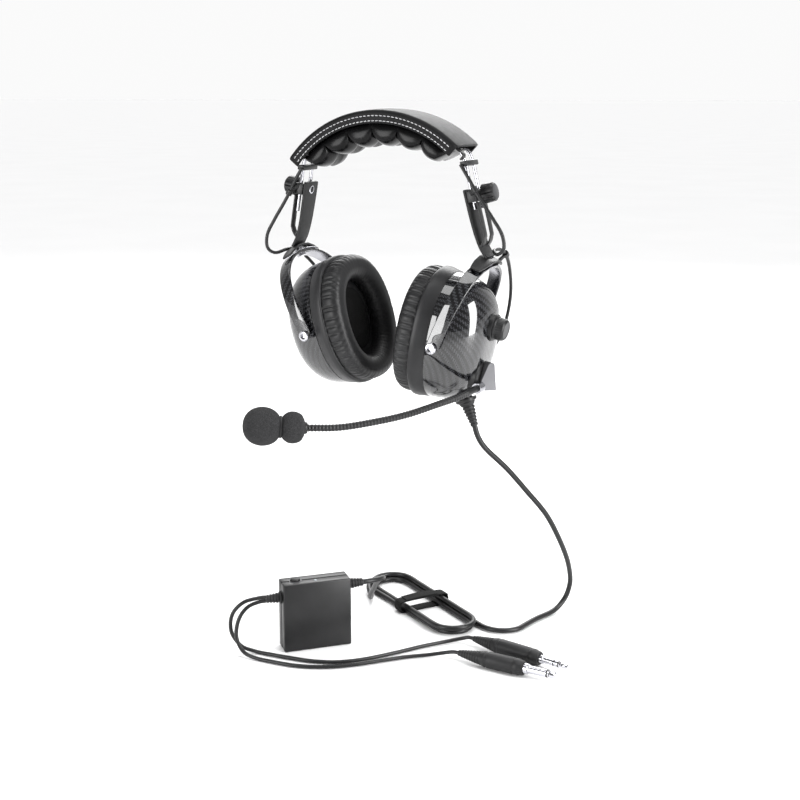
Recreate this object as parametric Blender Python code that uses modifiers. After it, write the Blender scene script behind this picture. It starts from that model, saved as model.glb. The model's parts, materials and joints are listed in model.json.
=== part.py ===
"""Aviation headset: a stitched head pad on two sprung rods, sliding arms, forked yokes, two ear
cups, a boom microphone, a control box, a hank of cord and two plugs.

Metres, +Z up. The origin is the middle of the wearer's head, on the line between the ears. The
wearer faces -Y, and +X is the wearer's left. The box, the hank and the plugs lie on a table.
"""
import math

import bmesh
import bpy
from mathutils import Matrix, Vector

GAP = 0.0003                    # between pieces that touch
SIDES = {"left": 1, "right": -1}
LEAN = math.radians(2.5)        # the whole headset leans to the wearer's right

# Head pad and its two rods, in the headset's own frame
BAND_CENTRE_Z = 0.0835          # centre of the arc over the head
COVER_RADIUS = 0.101            # top of the leather cover
COVER_THICKNESS = 0.0022
COVER_FOLD = 0.0105             # how far the cover's long edges hang below its top
COVER_CORNER = 0.0030
PAD_HALF_ANGLE = math.radians(47.5)
PAD_SHIFT = math.radians(2.3)   # the pad sits a little to the right of the rods' middle
PAD_WIDTH = 0.046
ROD_ARC_RADIUS = 0.0955
ROD_ARC_ANGLE = math.radians(31)
ROD_RADIUS = 0.0015
ROD_Y = 0.0075
ROD_END_Z = 0.1055
BEND_Z = 0.1415                 # the rods are straight below this height
CUSHION_GAP = 0.0008            # between the cushion and the cover's folded edges
LOBES = 6
LOBE_DEPTH = 0.0215
LOBE_SEAM_DEPTH = 0.0125        # depth of the pad at the seams between lobes

# Arms, which slide on the rods
SLIDE_ANGLE = math.radians(12)  # the rods spread outwards by this much going down
SLIDE_X = 0.0761                # half the distance between the rods at SLIDE_Z
SLIDE_Z = 0.120
CLAMP_Z = {"left": 0.1155, "right": 0.1235}
CLAMP_SIZE = (0.0070, 0.0220, 0.0090)
ARM_WIDTH = 0.021
ARM_THICKNESS = 0.0022
KNOB_RADIUS = 0.0078
SHAFT_RADIUS = 0.0020
CLEARANCE = 0.0003              # around a shaft in its hole

# Yokes, which swivel under the arms
YOKE_TOP = (-0.0038, -0.0537)   # outward and upward of the clamp screw
YOKE_ANGLE = math.radians(26.4)
YOKE_DROP = 0.067
YOKE_HALF_SPAN = 0.0435
YOKE_WIDTH = 0.011
YOKE_THICKNESS = 0.0024
RIGHT_SWIVEL = math.radians(-6)
PIN_RADIUS = 0.0020

# Ear cups, which tilt in the yokes
CUP_ANGLE = math.radians(13)
CUP_CENTRE_Z = 0.002            # the cup's middle is above the tilt axis
SEAL_HALF = (0.0425, 0.0530)
SEAL_OPENING = (0.0225, 0.0305)
SEAL_INNER_X = -0.0355
PLATE_X = -0.0200
PLATE_HALF = (0.0430, 0.0535)
DOME_X = -0.0070
DOME_DEPTH = 0.038
DOME_HALF = (0.0400, 0.0515)
DOME_WALL = 0.0020
SOUND_HOLE = 0.0170             # radius of the hole in the base plate for the speaker
OVAL_STEPS = 28
OVAL_POWER = 2.2

# Volume knob, boom and cord gland, on the left cup
VOLUME_Z = 0.018
VOLUME_RADIUS = 0.0110
BOOM_AT = (0.0, -0.006, -0.022)
BOOM_BASE_RADIUS = 0.0125
BOOM_RADIUS = 0.0027
WEDGE_OUTLINE = ((0.0100, -0.0085), (0.0100, 0.0085), (-0.0130, 0.0032), (-0.0130, -0.0032))
WEDGE_LOW = 0.0319              # the wedge block's lower and upper faces, out from the tilt axis
WEDGE_HIGH = 0.0400
WEDGE_CROWN = (0.72, 0.70, 0.0020)
STEM_RADIUS = 0.0038
STEM_LENGTH = 0.0125
STEM_CENTRE = 0.0262
BOOM_ROUTE = ((0.0835, -0.0150, -0.0290), (0.0818, -0.0240, -0.0297), (0.0775, -0.0430, -0.0318),
              (0.0692, -0.0620, -0.0342),
              (0.0538, -0.0880, -0.0387), (0.0372, -0.1100, -0.0412), (0.0191, -0.1280, -0.0430),
              (0.0001, -0.1420, -0.0424))
WINDSCREEN_AT = (-0.0160, -0.1525, -0.0410)
GLAND_AT = (0.0190, -0.003, -0.0420)
GLAND_ANGLE = math.radians(31)

# Table, control box and cords
TABLE_Z = -0.250
BOX_CORNER = (-0.0533, -0.0924)
BOX_TURN = math.radians(44.3)
BOX_SIZE = (0.057, 0.019, 0.058)
BOX_WALL = 0.0018
BOX_OUTLET_Z = 0.050
BOX_INLET_Z = 0.045
BUTTON_X = 0.012
CORD_RADIUS = 0.00225
THIN_RADIUS = 0.0016
LEAD_RADIUS = 0.0014
HANK_CENTRE = (0.006, 0.046)
HANK_TURN = math.radians(-35)
HANK_LENGTH = 0.150
HANK_RADIUS = 0.023
HANK_HEIGHT = 0.0125
PLUG_RADIUS = 0.0066
MAIN_ROUTE = ((0.0746, -0.0030, -0.0645), (0.0766, -0.0025, -0.0715), (0.0798, -0.0003, -0.0790),
              (0.0845, 0.0045, -0.0868), (0.0950, 0.0180, -0.1030), (0.1060, 0.0350, -0.1250),
              (0.1180, 0.0520, -0.1490), (0.1250, 0.0680, -0.1750), (0.1275, 0.0840, -0.1985),
              (0.1270, 0.0950, -0.2170), (0.1255, 0.0985, -0.2280), (0.1230, 0.0962, -0.2378),
              (0.1192, 0.0890, -0.2448), (0.1155, 0.0790, -0.2474), (0.1090, 0.0600, -0.2474),
              (0.1049, 0.0422, -0.2474), (0.1021, 0.0317, -0.2474), (0.0944, 0.0240, -0.2474),
              (0.0839, 0.0212, -0.2474),
              (0.0719, 0.0250, -0.2474))
BOX_CORD_ROUTE = ((-0.0098, -0.0367, -0.2000), (-0.0067, -0.0337, -0.2000), (-0.0027, -0.0273, -0.2003),
                  (-0.0013, -0.0196, -0.2014), (-0.0034, -0.0120, -0.2038), (-0.0085, -0.0050, -0.2076),
                  (-0.0170, 0.0045, -0.2150), (-0.0280, 0.0180, -0.2290), (-0.0375, 0.0300, -0.2410),
                  (-0.0430, 0.0430, -0.2470),
                  (-0.0437, 0.0510, -0.2474))
UPPER_ROUTE = ((-0.0693, -0.0946, -0.2033), (-0.0730, -0.0982, -0.2033), (-0.0830, -0.1065, -0.2060),
               (-0.0910, -0.1110, -0.2160), (-0.0930, -0.1105, -0.2310), (-0.0870, -0.1065, -0.2440),
               (-0.0750, -0.1035, -0.2481), (-0.0590, -0.1030, -0.2482), (-0.0420, -0.1020, -0.2482),
               (-0.0230, -0.0995, -0.2482), (-0.0040, -0.0920, -0.2482), (0.0130, -0.0770, -0.2482),
               (0.0290, -0.0560, -0.2482), (0.0440, -0.0340, -0.2482), (0.0580, -0.0180, -0.2478),
               (0.0690, -0.0116, -0.2455), (0.0750, -0.0108, -0.2437), (0.0797, -0.0117, -0.2433))
LOWER_ROUTE = ((-0.0693, -0.0946, -0.2067), (-0.0730, -0.0982, -0.2068), (-0.0800, -0.1055, -0.2100),
               (-0.0850, -0.1110, -0.2195), (-0.0855, -0.1145, -0.2330), (-0.0790, -0.1150, -0.2445),
               (-0.0680, -0.1145, -0.2481), (-0.0500, -0.1145, -0.2482), (-0.0300, -0.1125, -0.2482),
               (-0.0100, -0.1050, -0.2482), (0.0090, -0.0915, -0.2482), (0.0260, -0.0740, -0.2482),
               (0.0410, -0.0590, -0.2482), (0.0560, -0.0480, -0.2478), (0.0680, -0.0434, -0.2455),
               (0.0750, -0.0430, -0.2437), (0.0797, -0.0434, -0.2433))
MICROPHONE_PLUG = ((0.0800, -0.0118, -0.2433), (0.1430, -0.0254, -0.2433))
HEADPHONE_PLUG = ((0.0800, -0.0434, -0.2433), (0.1380, -0.0475, -0.2433))
LEAD_ROUTE = ((0.0700, -0.0130, 0.1400), (0.0765, -0.0140, 0.1300), (0.0855, -0.0150, 0.1150),
              (0.0960, -0.0160, 0.1000), (0.1040, -0.0165, 0.0870), (0.1050, -0.0160, 0.0760),
              (0.0990, -0.0140, 0.0715), (0.0930, -0.0060, 0.0735), (0.0925, 0.0060, 0.0735),
              (0.0930, 0.0180, 0.0690), (0.0900, 0.0340, 0.0560), (0.0850, 0.0490, 0.0360),
              (0.0800, 0.0540, 0.0160), (0.0750, 0.0500, -0.0020), (0.0700, 0.0440, -0.0120))


def remove_everything():
    for thing in list(bpy.data.objects):
        bpy.data.objects.remove(thing, do_unlink=True)


def make_collection(name):
    made = bpy.data.collections.new(name)
    bpy.context.scene.collection.children.link(made)
    return made


remove_everything()
PARTS = make_collection("aviation_headset")
CUTTERS = make_collection("cutters")
FRAMES = make_collection("frames")


def make_finish(name, colour, roughness, metallic=0.0):
    finish = bpy.data.materials.new(name)
    finish.use_nodes = True
    shader = finish.node_tree.nodes["Principled BSDF"]
    shader.inputs["Base Color"].default_value = (*colour, 1.0)
    shader.inputs["Roughness"].default_value = roughness
    shader.inputs["Metallic"].default_value = metallic
    finish.diffuse_color = (*colour, 1.0)
    return finish


LEATHER = make_finish("black_leather", (0.020, 0.020, 0.022), 0.45)
STEEL = make_finish("bright_steel", (0.70, 0.70, 0.72), 0.22, 1.0)
NICKEL = make_finish("nickel", (0.75, 0.73, 0.70), 0.20, 1.0)
CARBON = make_finish("carbon_weave", (0.040, 0.042, 0.046), 0.12)
PLASTIC = make_finish("black_plastic", (0.022, 0.023, 0.025), 0.40)
GREY_PLASTIC = make_finish("grey_plastic", (0.16, 0.17, 0.18), 0.45)
RUBBER = make_finish("black_rubber", (0.018, 0.018, 0.019), 0.60)
FOAM = make_finish("black_foam", (0.016, 0.016, 0.018), 0.95)
BOARD = make_finish("green_board", (0.03, 0.16, 0.07), 0.50)


def frame(name, parent, at=(0, 0, 0), turn=(0, 0, 0)):
    """An empty that carries the pieces of one moving body."""
    made = bpy.data.objects.new(name, None)
    made.empty_display_size = 0.01
    made.parent = parent
    made.location = at
    made.rotation_euler = turn
    FRAMES.objects.link(made)
    return made


def put(name, data, finish, parent, at=(0, 0, 0), turn=(0, 0, 0)):
    made = bpy.data.objects.new(name, data)
    data.materials.append(finish)
    made.parent = parent
    made.location = at
    made.rotation_euler = turn
    PARTS.objects.link(made)
    return made


def as_cutter(thing):
    PARTS.objects.unlink(thing)
    CUTTERS.objects.link(thing)
    thing.hide_render = True
    thing.display_type = "WIRE"
    return thing


def add_boolean(target, other, operation):
    step = target.modifiers.new(operation.lower(), "BOOLEAN")
    step.operation = operation
    step.solver = "EXACT"
    step.object = other


def add_bevel(thing, width, segments=2):
    step = thing.modifiers.new("round", "BEVEL")
    step.width = width
    step.segments = segments
    step.limit_method = "ANGLE"
    step.angle_limit = math.radians(40)


def shade(mesh, angle=40):
    mesh.shade_smooth()
    mesh.set_sharp_from_angle(angle=math.radians(angle))


def mesh_from(work, name, flip=False):
    """A mesh from a bmesh; flip mirrors it in x for the right side."""
    if flip:
        for vert in work.verts:
            vert.co.x = -vert.co.x
        bmesh.ops.reverse_faces(work, faces=work.faces[:])
    mesh = bpy.data.meshes.new(name)
    work.to_mesh(mesh)
    work.free()
    shade(mesh)
    return mesh


def block(name, size, finish, parent, at=(0, 0, 0), turn=(0, 0, 0), bevel=0.0005):
    work = bmesh.new()
    bmesh.ops.create_cube(work, size=1.0, matrix=Matrix.Diagonal((*size, 1.0)))
    made = put(name, mesh_from(work, name), finish, parent, at, turn)
    if bevel:
        add_bevel(made, bevel)
    return made


def cylinder(name, radius, length, finish, parent, at=(0, 0, 0), turn=(0, 0, 0), steps=20):
    work = bmesh.new()
    bmesh.ops.create_cone(work, cap_ends=True, segments=steps, radius1=radius, radius2=radius,
                          depth=length)
    return put(name, mesh_from(work, name), finish, parent, at, turn)


def drill(target, radius, length, parent, at=(0, 0, 0), turn=(0, 0, 0), steps=12):
    tool = cylinder(target.name + "_drill", radius, length, PLASTIC, parent, at, turn, steps)
    add_boolean(target, as_cutter(tool), "DIFFERENCE")


def turned(name, profile, finish, parent, at=(0, 0, 0), turn=(0, 0, 0), steps=20):
    """A solid of revolution about local z; the profile is (radius, height), top to bottom."""
    mesh = bpy.data.meshes.new(name)
    verts = [(radius, 0.0, height) for radius, height in profile]
    closed = profile[0][0] > 0.0
    edges = [(i, i + 1) for i in range(len(verts) - 1)]
    if closed:
        edges.append((len(verts) - 1, 0))
    mesh.from_pydata(verts, edges, [])
    made = put(name, mesh, finish, parent, at, turn)
    step = made.modifiers.new("turn", "SCREW")
    step.axis = "Z"
    step.steps = steps
    step.render_steps = steps
    step.use_merge_vertices = True
    step.merge_threshold = 0.00001
    return made


def tube(name, points, radius, finish, parent, resolution=2):
    curve = bpy.data.curves.new(name, "CURVE")
    curve.dimensions = "3D"
    curve.bevel_depth = radius
    curve.bevel_resolution = resolution
    curve.use_fill_caps = True
    line = curve.splines.new("POLY")
    line.points.add(len(points) - 1)
    for item, place in zip(line.points, points):
        item.co = (*place, 1.0)
    return put(name, curve, finish, parent)


def smooth_line(points, spacing):
    """Points every `spacing` along the Catmull-Rom curve through `points`."""
    knots = [Vector(p) for p in points]
    knots = [2 * knots[0] - knots[1]] + knots + [2 * knots[-1] - knots[-2]]
    fine = []
    for i in range(1, len(knots) - 2):
        before, start, end, after = knots[i - 1:i + 3]
        for step in range(24):
            t = step / 24
            fine.append(0.5 * (2 * start + (end - before) * t
                               + (2 * before - 5 * start + 4 * end - after) * t ** 2
                               + (3 * start - before - 3 * end + after) * t ** 3))
    fine.append(knots[-2])
    total = sum((b - a).length for a, b in zip(fine, fine[1:]))
    count = max(2, round(total / spacing))
    walked, placed, made = 0.0, 1, [fine[0]]
    for start, end in zip(fine, fine[1:]):
        length = (end - start).length
        while placed < count and walked + length >= placed * total / count:
            made.append(start.lerp(end, (placed * total / count - walked) / length))
            placed += 1
        walked += length
    made.append(fine[-1])
    return made


def loft(name, rings, finish, parent, at=(0, 0, 0), turn=(0, 0, 0), flip=False, hollow=False):
    """A closed body through loops of equal length: capped ends, or a hollow ring of loops."""
    work = bmesh.new()
    loops = [[work.verts.new(p) for p in ring] for ring in rings]
    pairs = list(zip(loops, loops[1:]))
    if hollow:
        pairs.append((loops[-1], loops[0]))
    for lower, upper in pairs:
        for i in range(len(lower)):
            j = (i + 1) % len(lower)
            work.faces.new((lower[i], lower[j], upper[j], upper[i]))
    if not hollow:
        work.faces.new(loops[0])
        work.faces.new(loops[-1])
    bmesh.ops.recalc_face_normals(work, faces=work.faces[:])
    return put(name, mesh_from(work, name, flip), finish, parent, at, turn)


def oval(half_y, half_z, x, centre_z=CUP_CENTRE_Z):
    """One loop of the cups' rounded oval, in a plane of constant x."""
    loop = []
    for step in range(OVAL_STEPS):
        angle = 2 * math.pi * step / OVAL_STEPS
        across, up = math.cos(angle), math.sin(angle)
        y = math.copysign(abs(across) ** (2 / OVAL_POWER), across) * half_y
        z = math.copysign(abs(up) ** (2 / OVAL_POWER), up) * half_z
        loop.append((x, y, centre_z + z))
    return loop


def ribbon(name, path, half_widths, thickness, normal_of, finish, parent, flip=False):
    """A bent strip: an open surface along `path`, made solid by Solidify.

    Each path point carries a half width; normal_of gives the direction of the strip's width.
    """
    work = bmesh.new()
    rows = []
    for place, half in zip(path, half_widths):
        across = Vector(normal_of) * half
        rows.append([work.verts.new(Vector(place) + across * k) for k in (-1, 1)])
    for a, b in zip(rows, rows[1:]):
        work.faces.new((a[0], a[1], b[1], b[0]))
    made = put(name, mesh_from(work, name, flip), finish, parent)
    step = made.modifiers.new("thickness", "SOLIDIFY")
    step.thickness = thickness
    step.offset = 0.0
    step.use_even_offset = True
    return made


def arc_point(radius, angle, y=0.0):
    return (radius * math.sin(angle), y, BAND_CENTRE_Z + radius * math.cos(angle))


def slide_x(z):
    """Half the distance between the rods' straight ends at height z."""
    return SLIDE_X + (SLIDE_Z - z) * math.tan(SLIDE_ANGLE)


def rod_half(y):
    """One rod's route from the middle of the head to its left end."""
    crown = [arc_point(ROD_ARC_RADIUS, ROD_ARC_ANGLE * k / 4, y) for k in range(5)]
    shoulder = [(0.0600, y, 0.1578), (0.0675, y, 0.1500)]
    straight = [(slide_x(z), y, z) for z in (BEND_Z, 0.130, 0.118, ROD_END_Z)]
    return crown + shoulder + straight


def make_band(root):
    for name, y in (("front_band_rod", -ROD_Y), ("rear_band_rod", ROD_Y)):
        half = rod_half(y)
        whole = [(-x, y, z) for x, y, z in reversed(half[1:])] + half
        tube(name, smooth_line(whole, 0.0085), ROD_RADIUS, STEEL, root)
    make_cover(root)
    make_cushion(root)
    for side, s in SIDES.items():
        make_band_bracket(side, s, root)


def cover_section(half):
    """The cover's cross-section as (y, height above its top): flat, with both edges folded down."""
    corner, wall = COVER_CORNER, COVER_THICKNESS
    bend = (half - corner * 0.3, -corner * 0.3)
    outer = [(half, -COVER_FOLD), (half, -corner), bend, (half - corner, 0.0)]
    inner = [(half - corner, -wall), (half - wall, -corner), (half - wall, -COVER_FOLD)]
    left = [(-y, up) for y, up in reversed(outer)]
    return outer + left + [(-y, up) for y, up in reversed(inner)] + inner


def make_cover(root):
    steps = 20
    rings = []
    for k in range(steps + 1):
        angle = PAD_HALF_ANGLE * (2 * k / steps - 1) - PAD_SHIFT
        rings.append([arc_point(COVER_RADIUS + up, angle, y) for y, up in cover_section(PAD_WIDTH / 2)])
    loft("band_cover", rings, LEATHER, root)


def make_cushion(root):
    """The padded underside: its top follows the rods, and its lower edge is scalloped."""
    curve = bpy.data.curves.new("band_cushion", "CURVE")
    curve.dimensions = "2D"
    curve.fill_mode = "BOTH"
    curve.extrude = PAD_WIDTH / 2 - COVER_THICKNESS - CUSHION_GAP
    top, lower = [], []
    steps = 14
    for k in range(steps + 1):
        angle = ROD_ARC_ANGLE * 1.02 * (2 * k / steps - 1)
        top.append(arc_point(ROD_ARC_RADIUS - ROD_RADIUS - GAP, angle))
    shoulder = ((0.0580, 0.1560), (0.0650, 0.1490))
    top = [(-x, 0, z) for x, z in reversed(shoulder)] + top + [(x, 0, z) for x, z in shoulder]
    per_lobe = 4
    count = LOBES * per_lobe
    for k in range(count + 1):
        part = k / count
        angle = PAD_HALF_ANGLE * 0.93 * (1 - 2 * part) - PAD_SHIFT * 0.5
        bulge = abs(math.sin(math.pi * part * LOBES)) ** 0.6
        depth = LOBE_SEAM_DEPTH + (LOBE_DEPTH - LOBE_SEAM_DEPTH) * bulge
        depth *= 0.80 + 0.20 * math.sin(math.pi * part)
        lower.append(arc_point(ROD_ARC_RADIUS - 0.002 - depth, angle))
    outline = top + lower
    line = curve.splines.new("POLY")
    line.points.add(len(outline) - 1)
    line.use_cyclic_u = True
    for item, (x, _, z) in zip(line.points, outline):
        item.co = (x, z, 0.0, 1.0)
    put("band_cushion", curve, LEATHER, root, turn=(math.pi / 2, 0, 0))


def make_band_bracket(side, s, root):
    z = BEND_Z - 0.001
    place = (s * slide_x(z), 0, z)
    made = block(side + "_band_bracket", (0.006, 0.023, 0.004), PLASTIC, root, place,
                 (0, -s * SLIDE_ANGLE, 0))
    for y in (-ROD_Y, ROD_Y):
        drill(made, ROD_RADIUS + CLEARANCE, 0.02, root, (place[0], y, z), (0, -s * SLIDE_ANGLE, 0))


def make_arm_frame(side, s, root):
    z = CLAMP_Z[side]
    return frame(side + "_arm_frame", root, (s * slide_x(z), 0, z), (0, -s * SLIDE_ANGLE, 0))


def make_clamp(side, s, arm):
    clamp = block(side + "_slider_clamp", CLAMP_SIZE, PLASTIC, arm)
    for y in (-ROD_Y, ROD_Y):
        drill(clamp, ROD_RADIUS + CLEARANCE, 0.03, arm, (0, y, 0))
    drill(clamp, SHAFT_RADIUS + CLEARANCE, 0.03, arm, (0, 0, 0), (0, math.pi / 2, 0))
    make_clamp_knob(side, s, arm)


def make_clamp_knob(side, s, arm):
    """A fluted knob and its threaded shaft, which reaches through the clamp and the arm."""
    flutes, steps = 12, 24
    stations = ((-0.0060, SHAFT_RADIUS, 0), (0.0050, SHAFT_RADIUS, 0), (0.0050, 0.0046, 0),
                (0.0066, 0.0046, 0), (0.0066, KNOB_RADIUS, 1), (0.0158, KNOB_RADIUS * 0.94, 1),
                (0.0158, 0.0066, 0), (0.0166, 0.0060, 0))
    rings = []
    for x, radius, fluted in stations:
        loop = []
        for step in range(steps):
            angle = 2 * math.pi * step / steps
            notch = 0.90 if fluted and step % (steps // flutes) == 0 else 1.0
            loop.append((x, radius * notch * math.cos(angle), radius * notch * math.sin(angle)))
        rings.append(loop)
    loft(side + "_clamp_knob", rings, PLASTIC, arm, flip=s < 0)


def make_arm(side, s, arm):
    """A bowed strip whose upper part carries a slotted channel for the ends of the rods."""
    path = smooth_line(((-0.0050, 0, 0.0062), (-0.0050, 0, -0.0080), (-0.0046, 0, -0.0200),
                        (-0.0036, 0, -0.0300), (-0.0010, 0, -0.0370), (0.0016, 0, -0.0425),
                        (0.0022, 0, -0.0455), (0.0006, 0, -0.0480)), 0.0035)
    widths = [ARM_WIDTH / 2] * len(path)
    widths[0] = ARM_WIDTH / 2 - 0.0015
    made = ribbon(side + "_arm", path, widths, ARM_THICKNESS, (0, 1, 0), PLASTIC, arm, flip=s < 0)
    channel = block(side + "_channel", (0.0086, 0.0236, 0.0255), PLASTIC, arm,
                    (s * -0.0002, 0, -0.0180), bevel=0)
    for size, at in (((0.0066, 0.0206, 0.04), (s * -0.0008, 0, -0.018)),
                     ((0.0060, 0.0062, 0.0200), (s * 0.0040, 0, -0.0185))):
        tool = block(side + "_channel_cut", size, PLASTIC, arm, at, bevel=0)
        add_boolean(channel, as_cutter(tool), "DIFFERENCE")
    add_boolean(made, as_cutter(channel), "UNION")
    drill(made, SHAFT_RADIUS + CLEARANCE, 0.02, arm, (s * -0.005, 0, 0), (0, math.pi / 2, 0))


def make_yoke_frames(side, s, arm):
    """Returns the frame that stays with the arm and the one that swivels with the yoke."""
    place = (s * YOKE_TOP[0], 0, YOKE_TOP[1])
    fixed = frame(side + "_foot_frame", arm, place, (0, s * (YOKE_ANGLE + SLIDE_ANGLE), 0))
    swivel = RIGHT_SWIVEL if side == "right" else 0.0
    return fixed, frame(side + "_yoke_frame", fixed, turn=(0, 0, swivel))


def make_foot(side, s, fixed):
    """The roof-shaped bracket over the yoke, and the shouldered pin that the yoke swivels on."""
    path = ((0, -0.0240, -0.0012), (0, -0.0160, 0.0022), (0, -0.0080, 0.0050), (0, 0, 0.0055),
            (0, 0.0080, 0.0050), (0, 0.0160, 0.0022), (0, 0.0240, -0.0012))
    foot = ribbon(side + "_arm_foot", path, [0.0040, 0.0058, 0.0062, 0.0062, 0.0062, 0.0058, 0.0040],
                  0.0016, (1, 0, 0), PLASTIC, fixed, flip=s < 0)
    drill(foot, PIN_RADIUS + CLEARANCE, 0.01, fixed, (0, 0, 0.0055))
    turned(side + "_swivel_pin",
           ((0.0, 0.0063), (PIN_RADIUS, 0.0063), (PIN_RADIUS, 0.0043), (0.0042, 0.0043),
            (0.0042, 0.0018), (PIN_RADIUS, 0.0018), (PIN_RADIUS, -0.0018), (0.0040, -0.0018),
            (0.0040, -0.0030), (0.0, -0.0030)), STEEL, fixed, steps=20)


def make_yoke(side, s, swivel):
    """The arched fork, with a rounded eye at each end for the pivot screws."""
    half = ((0, 0.0, 0.0), (0, 0.0090, -0.0004), (0, 0.0180, -0.0030), (0, 0.0270, -0.0085),
            (0, 0.0345, -0.0170), (0, 0.0395, -0.0280), (0, 0.0424, -0.0400),
            (0, YOKE_HALF_SPAN, -0.0520), (0, YOKE_HALF_SPAN, -YOKE_DROP + YOKE_WIDTH / 2))
    eye_radius = YOKE_WIDTH / 2
    path = smooth_line(half, 0.0050)
    widths = [eye_radius] * len(path)
    for k in range(1, 5):
        along = eye_radius * math.sin(math.radians(22.5 * k))
        path.append(Vector((0, YOKE_HALF_SPAN, -YOKE_DROP + eye_radius / 2 - along)))
        widths.append(max(0.0012, eye_radius * math.cos(math.radians(22.5 * k))))
    mirrored = [Vector((0, -p[1], p[2])) for p in path[1:]]
    whole = mirrored[::-1] + path
    made = ribbon(side + "_yoke", whole, widths[:0:-1] + widths, YOKE_THICKNESS, (1, 0, 0), CARBON,
                  swivel, flip=s < 0)
    drill(made, PIN_RADIUS + CLEARANCE, 0.01, swivel)
    drill(made, SHAFT_RADIUS + CLEARANCE, 0.12, swivel, (0, 0, -YOKE_DROP), (math.pi / 2, 0, 0))


def make_pivots(side, cup):
    """The two screws that the cup tilts on, from the yoke's eye into the cup's wall."""
    for end, k in (("front", -1), ("rear", 1)):
        turned(side + "_" + end + "_pivot_screw",
               ((0.0, 0.0462), (0.0016, 0.0462), (0.0022, 0.0472), (0.0044, 0.0468),
                (0.0044, 0.0451), (SHAFT_RADIUS, 0.0451), (SHAFT_RADIUS, 0.0420), (0.0034, 0.0420),
                (0.0034, 0.0403), (0.0015, 0.0403), (0.0015, 0.0350), (0.0, 0.0350)), NICKEL, cup,
               turn=(-k * math.pi / 2, 0, 0), steps=12)


def make_shell(side, s, cup):
    """The dome: an outer and an inner skin joined at the rim."""
    rings = []
    steps = 6
    for wall, order in ((0.0, range(steps + 1)), (DOME_WALL, range(steps, -1, -1))):
        for k in order:
            angle = math.pi / 2 * min(k / steps, 0.985)
            scale = math.cos(angle) ** 0.62
            depth = (DOME_DEPTH - wall) * math.sin(angle) ** 0.9
            rings.append(oval((DOME_HALF[0] - wall) * scale, (DOME_HALF[1] - wall) * scale,
                              DOME_X + depth))
    outer, inner = rings[:steps + 1], rings[steps + 1:]
    work = bmesh.new()
    loops = [[work.verts.new(p) for p in ring] for ring in outer + inner]
    for index, (lower, upper) in enumerate(zip(loops, loops[1:])):
        if index == steps:
            continue
        for i in range(OVAL_STEPS):
            j = (i + 1) % OVAL_STEPS
            work.faces.new((lower[i], lower[j], upper[j], upper[i]))
    for i in range(OVAL_STEPS):
        j = (i + 1) % OVAL_STEPS
        work.faces.new((loops[-1][i], loops[-1][j], loops[0][j], loops[0][i]))
    work.faces.new(loops[steps])
    work.faces.new(loops[steps + 1])
    bmesh.ops.recalc_face_normals(work, faces=work.faces[:])
    shell = put(side + "_cup_shell", mesh_from(work, side + "_cup_shell", s < 0), CARBON, cup)
    drill(shell, 0.0015 + CLEARANCE, 0.12, cup, (0, 0, 0), (math.pi / 2, 0, 0))
    return shell


def make_plate(side, s, cup):
    """The base plate: a floor behind the seal and a flared wall that meets the dome."""
    floor = PLATE_X + 0.0026
    rim = DOME_X - GAP
    section = ((PLATE_X, PLATE_HALF[0], PLATE_HALF[1]), (PLATE_X + 0.0040, *PLATE_HALF),
               (rim, DOME_HALF[0], DOME_HALF[1]), (rim, DOME_HALF[0] - 0.0022, DOME_HALF[1] - 0.0022),
               (floor, PLATE_HALF[0] - 0.0035, PLATE_HALF[1] - 0.0035), (floor, SOUND_HOLE, SOUND_HOLE),
               (PLATE_X, SOUND_HOLE, SOUND_HOLE))
    rings = [oval(half_y, half_z, x) for x, half_y, half_z in section]
    loft(side + "_base_plate", rings, PLASTIC, cup, flip=s < 0, hollow=True)


def make_seal(side, s, cup):
    """The ear cushion: a rounded section swept round the oval opening."""
    back = PLATE_X - GAP
    middle_y = (SEAL_HALF[0] + SEAL_OPENING[0]) / 2
    middle_z = (SEAL_HALF[1] + SEAL_OPENING[1]) / 2
    reach = (SEAL_HALF[0] - SEAL_OPENING[0]) / 2
    section = ((back, 0.86), (back - 0.0035, 1.0), (back - 0.0090, 0.98), (back - 0.0130, 0.78),
               (SEAL_INNER_X, 0.35), (SEAL_INNER_X, -0.25), (back - 0.0130, -0.75),
               (back - 0.0080, -1.0), (back, -0.92))
    rings = [oval(middle_y + reach * out, middle_z + reach * out, x) for x, out in section]
    loft(side + "_ear_seal", rings, LEATHER, cup, flip=s < 0, hollow=True)


def make_speaker(side, s, cup):
    outward = (0, s * math.pi / 2, 0)
    front = PLATE_X + 0.0026 + GAP
    turned(side + "_speaker",
           ((0.0, front + 0.0120), (0.0120, front + 0.0120), (0.0130, front + 0.0060),
            (0.0200, front + 0.0020), (0.0205, front), (0.0, front)), STEEL, cup,
           (0, 0, CUP_CENTRE_Z), outward)
    grille = loft(side + "_speaker_grille",
                  [oval(0.0200, 0.0260, x) for x in (PLATE_X - GAP, PLATE_X - GAP - 0.0010)], FOAM, cup,
                  flip=s < 0)
    holes = 6
    for k in range(holes):
        angle = 2 * math.pi * k / holes
        place = (s * PLATE_X, 0.0100 * math.cos(angle), CUP_CENTRE_Z + 0.0100 * math.sin(angle))
        drill(grille, 0.0018, 0.01, cup, place, (0, math.pi / 2, 0), steps=6)


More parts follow.
